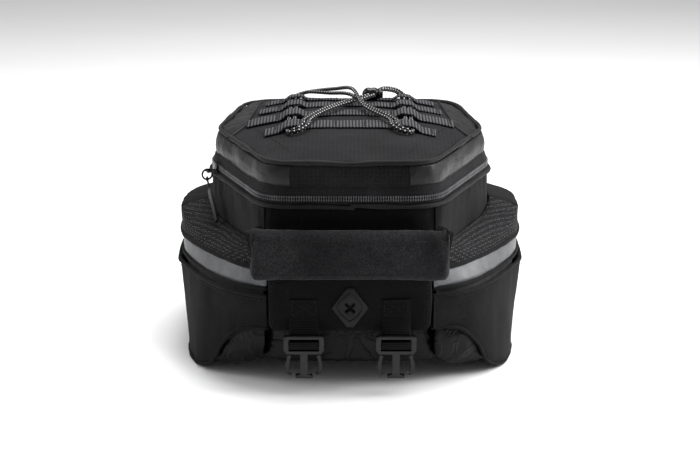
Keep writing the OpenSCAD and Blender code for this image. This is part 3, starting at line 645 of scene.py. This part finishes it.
def band_stuff(p):
    """1 where the band is coated, behind its front seams and before its rear ones."""
    return int(abs(p.x) > BAND_SEAM and p.y < BAND_BACK)


dressed(band, [BAND_RIPSTOP, LEATHERETTE], "lid", ["lid_band"], choose=band_stuff)


def on_band(index, proud=0.5):
    return [ring(p[0] + proud, p[1] + proud, p[2])[index] for p in band_profile[:BAND_FACE]]


def nearest(line, test):
    return min(range(len(line)), key=lambda i: test(line[i]))


band_ring = ring(5, 2, 184)
seams = []
for side in (-1, 1):
    seams.append(nearest(band_ring, lambda p: abs(p.x - side * BAND_SEAM) + (1 if p.y > 0 else 0)))
    seams.append(nearest(band_ring, lambda p: abs(p.y - BAND_BACK) + (1 if p.x * side < 0 else 0)))
for number, index in enumerate(seams):
    seam = swept(f"band_seam_{number + 1}", on_band(index, 0.1), round_section(0.6 * MM, 6), outward=outwards)
    dressed(seam, BINDING, "lid")
sewn("band_stitches", [on_band(i + d, 0.4) for i in seams for d in (-2, 2)], "lid", outwards,
     long=2.2, gap=0.9, thick=0.5)

pipe_line = [p - Vector((0, 0, 1.3 * MM * bump_at(p.x, 0, 0.018) if p.y < 0 else 0))
             for p in ring(0.6, 0.6, EDGE)]
lid_pipe = swept("lid_piping_cord", pipe_line, round_section(CORD_R * 1.05, 12), closed=True)
rumpled(lid_pipe, 0.7, 30, seed=6)
dressed(lid_pipe, PIPING, "lid", ["lid_piping"])

corner_seam = []
for side in (-1, 1):
    marks = [(side * (94 + 0.63 * d) * MM, (-2 - d) * MM) for d in (26, 18, 9, 0)]
    marks += [(side * (94 - 0.06 * d) * MM, (d - 2) * MM) for d in (20, 50, 80, 105, 122)]
    corner_seam.append(eased([Vector((x, y, dome(x, y) + 0.4 * MM)) for x, y in marks], 1))
for number, line in enumerate(corner_seam):
    seam = swept(f"lid_seam_{number + 1}", even(line, 2 * MM), round_section(0.8 * MM, 6, 0.8))
    dressed(seam, LEATHERETTE, "lid")
front_seams = []
for side in (-1, 1):
    marks = [(side * x * MM, y * MM) for x, y in ((92, -6), (80, -36), (68, -66), (58, -92), (52, -104))]
    front_seams.append(even([Vector((x, y, dome(x, y) + 0.5 * MM)) for x, y in marks], 4 * MM))
sewn("lid_stitches", [[p + Vector((-2.2 * MM if p.x > 0 else 2.2 * MM, 0, 0.1 * MM)) for p in line]
                      for line in corner_seam + front_seams], "lid", dome_out, thick=0.6)

# ---- Rows of webbing and the lacing ----

ARCH_X = 52 * MM
ROW_BOXES = [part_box(f"webbing_row_{n}") for n in (1, 2, 3, 4)]
WEB_T = 1.6 * MM


def row_lift(x):
    off = abs(abs(x) - ARCH_X) / MM
    return 4.1 * MM * (1 if off < 4 else 0.5 + 0.5 * math.cos(math.pi * (off - 4) / 9) if off < 13 else 0)


tacks = []
for number, (low, high) in enumerate(ROW_BOXES):
    y, half = (low[1] + high[1]) / 2, high[0]
    line = [Vector((x, y, dome(x, y) + row_lift(x) + 1.2 * MM)) for x in steps(-half, half, 110)]
    row = swept(f"webbing_row_{number + 1}_ribbed", line, flat_section(high[1] - low[1], WEB_T),
                outward=dome_out)
    rumpled(row, 0.5, 18, seed=10 + number)
    dressed(row, ROW_WEBBING, "lid", [f"webbing_row_{number + 1}"])
    for x in (-half + 3 * MM, -66 * MM, -38 * MM, -13 * MM, 13 * MM, 38 * MM, 66 * MM, half - 3 * MM):
        if abs(x) < half:
            tacks.append([Vector((x, yy, dome(x, yy) + row_lift(x) + 2.2 * MM))
                          for yy in steps(low[1] + 2 * MM, high[1] - 2 * MM, 8)])
sewn("row_tacks", tacks, "lid", dome_out, long=1.8, gap=0.2, thick=1.1)

LOW = 2
INNER_LAP = [
    (17.5, 49.5, 8.5), (4, 34, 7), (-14, 8, 6.5), (-30, -18, 6.5), (-40.5, -40, 6.5),
    (-41.2, -51, 6.2), (-45.2, -57.3, 4.5), (-49.8, -57, 3.3), (-50.5, -50, LOW), (-50, -22, LOW),
    (-50, 18, LOW), (-50, 58, LOW), (-50, 86, LOW), (-47, 94, 5), (-40, 86, 8),
    (-20, 60, 9), (0, 32, 11.6), (17, 0, 7), (30, -22, 6.5), (40.5, -40, 6.5),
    (41.2, -51, 6.2), (45.2, -57.3, 4.5), (49.8, -57, 3.3), (50.5, -50, LOW), (50, -22, LOW),
    (50, 18, LOW), (50, 58, LOW), (50, 86, LOW), (48, 94, 5), (42, 87, 9),
    (30, 72, 11), (17.5, 62.5, 8.5)]
OUTER_LAP = [
    (22.5, 49.5, 8.5), (9, 29, 7), (-9.5, 5, 6.5), (-25, -20, 6.5), (-35.5, -43, 6.5),
    (-37.2, -55, 5.4), (-45, -63.8, 3.8), (-52.5, -62.5, 3.2), (-55.5, -50, LOW), (-55, -22, LOW),
    (-55, 18, LOW), (-55, 58, LOW), (-55, 88, LOW), (-50, 99, 5), (-36, 90, 8.5),
    (-15, 65, 12.5), (2, 36, 16.2), (12, 0, 8), (25, -25, 6.5), (35.5, -43, 6.5),
    (37.2, -55, 5.4), (45, -63.8, 3.8), (52.5, -62.5, 3.2), (55.5, -50, LOW), (55, -22, LOW),
    (55, 18, LOW), (55, 58, LOW), (55, 88, LOW), (52, 99, 5), (44, 93, 10),
    (32, 79, 12), (22.5, 62.5, 8.5)]


def curved(points, count=10):
    """A smooth curve through all the points."""
    line = []
    for i in range(len(points) - 1):
        p0, p1, p2, p3 = (points[max(0, min(len(points) - 1, j))] for j in (i - 1, i, i + 1, i + 2))
        for t in (s / count for s in range(count)):
            line.append(0.5 * (2 * p1 + (p2 - p0) * t + (2 * p0 - 5 * p1 + 4 * p2 - p3) * t * t
                               + (3 * p1 - p0 - 3 * p2 + p3) * t ** 3))
    return line + [points[-1]]


for name, lap in (("bungee_inner_lap", INNER_LAP), ("bungee_outer_lap", OUTER_LAP)):
    route = [Vector((x * MM, y * MM, dome(x * MM, y * MM) + z * MM)) for x, y, z in lap]
    lacing = swept(name, even(curved(route), 1.6 * MM), round_section(1.75 * MM, 12))
    dressed(lacing, CORD, "lid", ["bungee"])

low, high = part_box("cord_lock_barrel")
lock_at = (Vector(low) + Vector(high)) / 2
lock = primitive("uv_sphere", "cord_lock_body", segments=32, ring_count=20, radius=1, location=lock_at,
                 rotation=(0, math.pi / 2, 0), scale=(6.9 * MM, 6.4 * MM, 8.6 * MM))
bpy.ops.object.transform_apply(location=True, rotation=True, scale=True)
for vertex in lock.data.vertices:
    off = vertex.co - lock_at
    waist = 1 - 0.16 * bump_at(off.x, 0, 0.0022)
    vertex.co = lock_at + Vector((off.x, off.y * waist, off.z * waist))
modify(lock, "SUBSURF", levels=1, render_levels=1)
dressed(lock, ACETAL, "lid", ["cord_lock_barrel"])
collar = primitive("torus", "cord_lock_collar", location=lock_at + Vector((7.4 * MM, 0, 0)),
                   rotation=(0, math.pi / 2, 0), major_radius=4.6 * MM, minor_radius=0.8 * MM,
                   major_segments=32, minor_segments=10)
bpy.ops.object.transform_apply(location=True, rotation=True, scale=True)
dressed(collar, ACETAL, "lid")

# ---- Zip ----

PIPE_Z = (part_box("body_piping")[0][2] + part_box("body_piping")[1][2]) / 2 / MM
ZIP_Z = 168.0
HINGE_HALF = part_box("lid_hinge_strip")[1][0]


def open_ring(side, ends, z, gap=HINGE_HALF):
    """The outline from one side of the hinge round the front to the other."""
    line = centred(ring(side, ends, z), Vector((0, 1, z * MM)))
    return [p for p in line if not (p.y > MID_Y and abs(p.x) < gap)]


def strip_between(name, rings):
    """A cloth strip over open rings, given its thickness."""
    count = min(len(r) for r in rings)
    points = [p for r in rings for p in r[:count]]
    faces = [(k * count + i, k * count + i + 1, (k + 1) * count + i + 1, (k + 1) * count + i)
             for k in range(len(rings) - 1) for i in range(count - 1)]
    mesh = bpy.data.meshes.new(name)
    mesh.from_pydata(points, [], faces)
    obj = bpy.data.objects.new(name, mesh)
    bpy.context.scene.collection.objects.link(obj)
    return modify(obj, "SOLIDIFY", thickness=1.0 * MM, offset=0)


tape_low = strip_between("lower_tape", [open_ring(6.4, -3.8, PIPE_Z - 3), open_ring(7.9, 0.6, PIPE_Z + 2),
                                        open_ring(7.9, 0.9, PIPE_Z + 3.4), open_ring(7.3, 0.8, 166),
                                        open_ring(6.7, 0.5, 167.5)])
rumpled(tape_low, 0.4, 14, seed=20)
dressed(tape_low, ZIP_TAPE, "bag", ["lower_zip_tape"])
tape_up = strip_between("upper_tape", [open_ring(6.7, 0.5, 168.5), open_ring(6.6, 1, 171),
                                       open_ring(5.6, 1, 175), open_ring(3.9, 0, 178.6),
                                       open_ring(3.1, -0.8, 183)])
rumpled(tape_up, 0.4, 14, seed=21)
dressed(tape_up, ZIP_TAPE, "lid", ["upper_zip_tape"])
for name, lines, body in (("lower_tape_stitches", [open_ring(8.3, 1.4, PIPE_Z + 3.8)], "bag"),
                          ("upper_tape_stitches", [open_ring(6.9, 1.7, 173.2),
                                                   open_ring(5.8, 1.6, 176.2)], "lid")):
    sewn(name, lines, body, outwards, long=2.2, gap=1.2, thick=0.6)
for name, z, body in (("lower_coil", ZIP_Z - 1.25, "bag"), ("upper_coil", ZIP_Z + 1.25, "lid")):
    turn = primitive("cube", "turn", size=1)
    turn.scale = (1.25 * MM, 2.1 * MM, 2.3 * MM)
    bpy.ops.object.transform_apply(location=True, rotation=True, scale=True)
    modify(turn, "BEVEL", width=0.4 * MM, segments=1)
    marks = even(open_ring(7.8, 1.6, z), 2.1 * MM)
    coil = repeated(name, turn, [placed((a + b) / 2, b - a, Vector((0, 0, 1)))
                                 for a, b in zip(marks, marks[1:])])
    dressed(coil, COIL, body, smooth=40)

hinge_low, hinge_high = (Vector(p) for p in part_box("lid_hinge_strip"))
hinge_mid = (hinge_low + hinge_high) / 2
HEMMED = 4 * MM
hinge_line = [Vector((0, hinge_mid.y, z)) for z in steps(hinge_low.z - HEMMED, hinge_high.z + HEMMED, 18)]
hinge = swept("hinge_cloth", hinge_line, flat_section(hinge_high.x - hinge_low.x, 1.1 * MM),
              outward=lambda p: Vector((0, 1, 0)))
dressed(hinge, ZIP_TAPE, None, ["lid_hinge_strip"])
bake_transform(hinge)

pipe_ring = centred(ring(9.5, 2, PIPE_Z), Vector((0, -1, PIPE_Z * MM)))
pipe_ring = pipe_ring + pipe_ring[:3]
pipe_ring = [p + Vector((0, 0, 0.9 * MM * (bump_at(i, 0, 12) - bump_at(i, len(pipe_ring), 12))))
             for i, p in enumerate(pipe_ring)]
body_pipe = swept("body_piping_cord", pipe_ring, round_section(CORD_R * 1.05, 12))
rumpled(body_pipe, 0.6, 26, seed=22)
dressed(body_pipe, PIPING, "bag", ["body_piping"])

# ---- Walls and tray ----

tray_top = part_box("base_tray")[1][2] / MM
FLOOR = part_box("base_tray")[0][2] / MM
RECESS_HALF = 79 * MM
WALL_STEPS = 22
heights = steps(tray_top - 1, PIPE_Z - 1, WALL_STEPS)
belly = [0.9 * math.sin(math.pi * i / WALL_STEPS) for i in range(len(heights))]
wall = lofted("body_walls", [ring(8.3 + out, -2 + out, z) for out, z in zip(belly, heights)]
              + [ring(4.6, -5.9, z) for z in steps(PIPE_Z - 1, tray_top + 0.2, 8)], loop=True)
rumpled(wall, 1.6, 34, seed=30, where=lambda p: 0.6)
rumpled(wall, 1.2, 10, seed=31, where=lambda p: 0.15 + 0.8 * bump_at(p.z, 0.156, 0.016), stretch=(1, 1, 0.3))
# The front wall within RECESS_HALF takes the darker recess nylon, as painted shade.
dressed(wall, [WALL_NYLON, SHADED_RECESS_NYLON], "bag", ["front_wall", "rear_wall", "left_wall", "right_wall"],
        choose=lambda p: int(abs(p.x) < RECESS_HALF and p.y < -0.1))
wall_ring = ring(8.8, -1.6, 100)
recess_seams = [nearest(wall_ring, lambda p: abs(p.x - s * 73 * MM) + (1 if p.y > 0 else 0)) for s in (-1, 1)]
for number, index in enumerate(recess_seams):
    line = [ring(8.9, -1.4, z)[index] for z in steps(112, PIPE_Z - 2, 14)]
    seam = swept(f"recess_seam_{number + 1}", line, round_section(0.9 * MM, 6), outward=outwards)
    dressed(seam, BINDING, "bag")

tray_rings = [ring(0, 0, FLOOR, s) for s in (0.03, 0.3, 0.6, 0.85)]
tray_rings += [ring(6.5, -4, FLOOR), ring(8, -2.4, FLOOR + 1.2)]
tray_rings += [ring(8.5, -2, z) for z in steps(FLOOR + 4, tray_top, 10)]
tray_rings += [ring(4.5, -6, tray_top), ring(4.5, -6, FLOOR + 10), ring(4.5, -6, FLOOR + 3.2)]
tray_rings += [ring(0, 0, FLOOR + 3, s) for s in (0.85, 0.5, 0.03)]
tray = lofted("base_shell", tray_rings)
rumpled(tray, 0.8, 22, seed=32)
dressed(tray, BASE_LEATHERETTE, "bag", ["base_tray"])

# ---- Front panel ----

panel_low, panel_high = (Vector(p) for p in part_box("front_panel"))
PANEL = [Vector((p.x, 0, p.y)) for p in flat_hull("front_panel", 1, panel_high.y)]
PANEL = even(eased(PANEL, 1, closed=True), 0.0002, closed=True)
PANEL_ROUND = 220
PANEL = [PANEL[i * len(PANEL) // PANEL_ROUND] for i in range(PANEL_ROUND)]
panel_mid = Vector((0, 0, (panel_low.z + panel_high.z) / 2))


def panel_ring(share, y):
    """The panel's outline at depth y; a share below 1 shrinks it to the middle."""
    return [Vector((panel_mid.x + (p.x - panel_mid.x) * share, y, panel_mid.z + (p.z - panel_mid.z) * share))
            for p in PANEL]


face = panel_low.y
panel_rings = [panel_ring(1, panel_high.y), panel_ring(1, face + 5 * MM), panel_ring(0.995, face + 3 * MM),
               panel_ring(0.98, face + 1.6 * MM), panel_ring(0.955, face + 1.2 * MM),
               panel_ring(0.94, face + 0.8 * MM)]
panel_rings += [panel_ring(s, face - 1.2 * MM * (1 - s ** 2))
                for s in (0.9, 0.84, 0.76, 0.66, 0.55, 0.42, 0.3, 0.18, 0.06)]
panel = lofted("front_pad", panel_rings)
rumpled(panel, 1.4, 30, seed=40, where=lambda p: 0.5)
dressed(panel, PANEL_NYLON, "bag", ["front_panel"])
pad_line = panel_ring(0.95, face + 0.7 * MM)
sewn("front_pad_stitches", [pad_line + pad_line[:1]], "bag", lambda p: Vector((0, -1, 0)), thick=0.5)

tab = taken("lash_tab", "lash_tab_rubber", flat=True)
rounded_off(tab, 0.7, sharp=35)
dressed(tab, RUBBER, "bag", ["lash_tab"], smooth=40)
tab_low, tab_high = (Vector(p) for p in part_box("lash_tab"))
tab_mid = (tab_low + tab_high) / 2
half = (tab_high.x - tab_low.x) / 2 - 2.6 * MM
diamond = [Vector((tab_mid.x + x * half, tab_low.y - 0.1 * MM, tab_mid.z + z * half))
           for x, z in ((1, 0), (0.14, 0.9), (-0.14, 0.9), (-1, 0), (-0.14, -0.9), (0.14, -0.9))]
rim = swept("lash_tab_rim", even(eased(diamond, 2, closed=True), 0.8 * MM, closed=True),
            round_section(0.8 * MM, 8), closed=True, outward=lambda p: Vector((0, -1, 0)))
dressed(rim, RUBBER, "bag")

# ---- Handle ----

def sleeve_size(share):
    end = min(share, 1 - share)
    return (0.62 + 0.38 * min(1, end / 0.11), 0.45 + 0.55 * min(1, end / 0.13))


h_low, h_high = (Vector(p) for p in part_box("handle_sleeve"))
mid_z = (h_low.z + h_high.z) / 2
front_y = h_low.y + 3 * MM
wall_y = h_high.y
corner_x = h_high.x - 3 * MM
half_path = [Vector((70 * MM, wall_y, mid_z)), Vector((77 * MM, wall_y - 9 * MM, mid_z)),
             Vector((corner_x, front_y + 2.5 * MM, mid_z)), Vector((corner_x - 3 * MM, front_y, mid_z)),
             Vector((60 * MM, front_y, mid_z)), Vector((0, front_y - 0.3 * MM, mid_z))]
path = half_path + [Vector((-p.x, p.y, p.z)) for p in half_path[-2::-1]]
path = even(eased(path, 2), 1.6 * MM)
for i, p in enumerate(path):
    p.z += 21 * MM * (1 - sleeve_size(i / (len(path) - 1))[0])


sleeve = swept("handle_sleeve_cloth", path, [(21 * MM * a, 3 * MM * b) for a, b in
               ((-0.94, -0.55), (-0.8, -0.95), (-0.4, -1), (0, -1), (0.4, -1), (0.8, -0.95),
                (0.94, -0.55), (1, 0), (0.94, 0.55), (0.8, 0.95), (0.4, 1), (0, 1), (-0.4, 1),
                (-0.8, 0.95), (-0.94, 0.55), (-1, 0))],
               size=sleeve_size, outward=lambda p: Vector((0.0001, -1, 0)) if abs(p.x) < corner_x - 4 * MM
               else Vector((1 if p.x > 0 else -1, -0.45, 0)))
softened(sleeve, 1, sharp=70)
for vertex in sleeve.data.vertices:
    rise = max(0.0, (vertex.co.z - mid_z) / (21 * MM))
    if abs(vertex.co.x) < corner_x:
        vertex.co.y += 5.5 * MM * rise ** 2.2
rumpled(sleeve, 1.5, 24, seed=41, where=lambda p: 0.3 + 0.7 * bump_at(abs(p.x), 0.08, 0.02))
rumpled(sleeve, 0.7, 7, seed=42, where=lambda p: 0.3 + 0.7 * bump_at(abs(p.x), 0.08, 0.015),
        stretch=(1, 1, 0.4))
dressed(sleeve, HANDLE_NYLON, "handle", ["handle_sleeve"])
topline = [Vector((x, h_low.y + 1.6 * MM, h_high.z - 8 * MM))
           for x in steps(-corner_x + 6 * MM, corner_x - 6 * MM, 60)]
lowline = [Vector((p.x, h_low.y - 0.1 * MM, h_low.z + 4.5 * MM)) for p in topline]
sewn("handle_stitches", [topline, lowline], "handle", lambda p: Vector((0, -1, 0)), thick=0.7)

# ---- Wings ----


def outer_edge(cad_node, test):
    """The outermost points of a wing's cloth that pass the test, in order from one end to the other."""
    points = {(round(v.co.x, 5), round(v.co.y, 5)): v.co.copy()
              for v in CAD[cad_node].data.vertices if test(v.co)}
    keys = sorted(points)
    line = [points[keys[i]] for i in geometry.convex_hull_2d([Vector(k) for k in keys])]
    first = max(range(len(line)), key=lambda i: (line[i] - line[i - 1]).length)
    line = line[first:] + line[:first]
    return [p for i, p in enumerate(line) if i == 0 or (p - line[i - 1]).length > 3 * MM]


for side, sign in (("left", -1), ("right", 1)):
    mesh_cover = softened(taken(f"{side}_mesh", f"{side}_mesh_cover"), 3, hold=0.55)
    rumpled(mesh_cover, 1.3, 26, seed=50 + sign, where=lambda p: 0.6)
    dressed(mesh_cover, MESH[side], "bag", [f"{side}_mesh"])
    top_cover = softened(taken(f"{side}_top_panel", f"{side}_top_cover"), 3, hold=0.55)
    rumpled(top_cover, 1.6, 26, seed=53 + sign, where=lambda p: 0.7)
    dressed(top_cover, SIDE_NYLON, "bag", [f"{side}_top_panel"])
    stripe = softened(taken(f"{side}_stripe", f"{side}_stripe_tape"), 2, hold=0.9)
    rumpled(stripe, 0.7, 22, seed=56 + sign)
    dressed(stripe, REFLECTIVE, "bag", [f"{side}_stripe"])
    stripe_low, stripe_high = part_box(f"{side}_stripe")
    stripe_mid = (stripe_low[2] + stripe_high[2]) / 2
    for edge, test in (("upper", lambda p: p.z > stripe_mid), ("lower", lambda p: p.z < stripe_mid)):
        line = even(curved(outer_edge(f"{side}_stripe", test)), 2 * MM)
        bound = swept(f"{side}_{edge}_stripe_edging", line, round_section(1.9 * MM, 10))
        rumpled(bound, 0.4, 16, seed=59 + sign)
        dressed(bound, BINDING, "bag", [f"{side}_stripe_bindings"])
    panel_side = softened(taken(f"{side}_side_panel", f"{side}_side_cover"), 3, hold=0.9)
    rumpled(panel_side, 2.0, 40, seed=62 + sign, where=lambda p: 0.7, stretch=(1, 1, 0.5))
    dressed(panel_side, SIDE_NYLON, "bag", [f"{side}_side_panel"])
    under = softened(taken(f"{side}_underside", f"{side}_under_cover"), 3, hold=0.6)
    rumpled(under, 1.8, 22, seed=65 + sign, where=lambda p: 0.8)
    dressed(under, BASE_LEATHERETTE, "bag", [f"{side}_underside"])

    lip_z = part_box(f"{side}_side_panel")[1][2]
    lip = outer_edge(f"{side}_side_panel", lambda p: p.z > lip_z - 1 * MM)
    lip = [p - Vector((sign * 0.6 * MM, 0, 0)) for p in even(curved(lip), 2 * MM)]
    bound = swept(f"{side}_lip_binding", lip, round_section(1.9 * MM, 10))
    rumpled(bound, 0.5, 20, seed=68 + sign)
    dressed(bound, BINDING, "bag")
    hem = outer_edge(f"{side}_side_panel", lambda p: p.z < lip_z - 10 * MM)
    hem = [p - Vector((sign * 0.8 * MM, 0, -1.2 * MM)) for p in even(curved(hem), 2 * MM)]
    bound = swept(f"{side}_hem_binding", hem, round_section(1.5 * MM, 8))
    rumpled(bound, 0.6, 20, seed=71 + sign)
    dressed(bound, BINDING, "bag")
    sewn(f"{side}_lip_stitches", [[p + Vector((sign * 1.0 * MM, -0.4 * MM, -3.6 * MM)) for p in lip]], "bag",
         lambda p: Vector((p.x, p.y * 0.6, 0)), thick=0.5)

# ---- Straps and plugs ----

for end, sign in (("front", -1), ("rear", 1)):
    for side, hand in (("left", -1), ("right", 1)):
        who = f"{end}_{side}"
        s_low, s_high = (Vector(p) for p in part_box(f"{who}_strap"))
        p_low, p_high = (Vector(p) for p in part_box(f"{who}_plug"))
        x = (s_low.x + s_high.x) / 2
        plane = (p_low.y + p_high.y) / 2
        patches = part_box("strap_patches")
        patch_y = patches[0][1] + 0.8 * MM if end == "front" else patches[1][1] - 0.8 * MM
        bar = p_high.z - 8.5 * MM
        inner = plane - sign * 3.1 * MM
        route = [Vector((x, y, z)) for y, z in (
            (patch_y, 81.5 * MM), (patch_y, 72 * MM), (patch_y, 63 * MM), ((patch_y + inner) / 2, 56 * MM),
            (inner, p_high.z - 1 * MM), (inner + sign * 0.5 * MM, bar),
            (inner + sign * 0.6 * MM, bar - 3 * MM),
            (plane, bar - 3.6 * MM), (plane + sign * 2.4 * MM, bar - 2.6 * MM),
            (plane + sign * 2.5 * MM, bar + 3.2 * MM))]
        web = swept(f"{who}_webbing", even(eased(route, 2), 1.2 * MM),
                    flat_section(s_high.x - s_low.x, WEB_T), up=Vector((0, -1, 0)),
                    outward=lambda p: Vector((0, -1, 0.0)) if p.z > 0.036 else Vector((0, -1, 0.02)))
        dressed(web, STRAP_WEBBING, None, [f"{who}_strap", "strap_patches"])
        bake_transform(web)
        w = (s_high.x - s_low.x) / 2 - 2.5 * MM
        y = patch_y + sign * 1.0 * MM
        corners = [Vector((x + a * w, y, z * MM)) for a, z in ((-1, 80), (1, 80), (1, 67), (-1, 67))]
        sewn(f"{who}_box_stitch", [[a, b] for a, b in zip(corners, corners[1:] + corners[:1])]
             + [[corners[0], corners[2]], [corners[1], corners[3]]], "bag", lambda p: Vector((0, sign, 0)),
             long=2.0, gap=0.7, thick=0.6)
        for part in (f"{who}_plug", f"{who}_inner_arm", f"{who}_outer_arm"):
            piece = taken(part, f"{part}_moulded", flat=True)
            rounded_off(piece, 0.6)
            dressed(piece, ACETAL, part, [part], smooth=40)

# ---- Slider and pull ----

slider = taken("zip_slider", "zip_slider_cast", flat=True)
rounded_off(slider, 0.35, segments=2)
dressed(slider, LACQUER, "slider", ["zip_slider"], smooth=40)
pull = taken("pull_tab", "pull_tab_moulded", flat=True)
rounded_off(pull, 0.5)
dressed(pull, RUBBER, "pull_tab", ["pull_tab"], smooth=40)

# ---- CAD pieces that stay ----

for name, material in (("slider_ring", LACQUER), ("cord_lock_plunger", ACETAL), ("cord_lock_spring", SPRING),
                       ("base_board", BOARD), ("handle_webbing", HIDDEN_WEBBING), ("left_foam_core", FOAM),
                       ("right_foam_core", FOAM)):
    for held in CAD[name].material_slots:
        held.material = material
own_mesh(CAD["cord_lock_spring"])

# ---- Floor and light ----

floor = primitive("plane", "floor", size=14)
paper, tree, shader, place = begin("white_paper_rolled", Roughness=0.9)
tree.links.new(dyed(tree, place, 900, "#f4f4f4", "#f8f8f8"), shader.inputs["Base Color"])
floor.data.materials.append(paper)


def softbox(name, place, size, power):
    bpy.ops.object.light_add(type="AREA", location=place)
    light = bpy.context.object
    light.name = name
    light.data.shape = "RECTANGLE"
    light.data.size, light.data.size_y = size
    light.data.energy = power
    light.rotation_euler = (AIM - Vector(place)).to_track_quat("-Z", "Y").to_euler()


softbox("top_softbox", (0.2, 0.35, 1.8), (1.5, 0.9), 44)
softbox("left_softbox", (-1.5, 0.1, 0.9), (0.7, 1.2), 9)
softbox("right_softbox", (1.5, 0.0, 0.9), (0.7, 1.2), 30)
world = bpy.data.worlds.new("studio")
world.use_nodes = True
world.node_tree.nodes["Background"].inputs["Color"].default_value = level(1.0)
world.node_tree.nodes["Background"].inputs["Strength"].default_value = 0.35
bpy.context.scene.world = world
bpy.context.scene.view_settings.view_transform = "Standard"
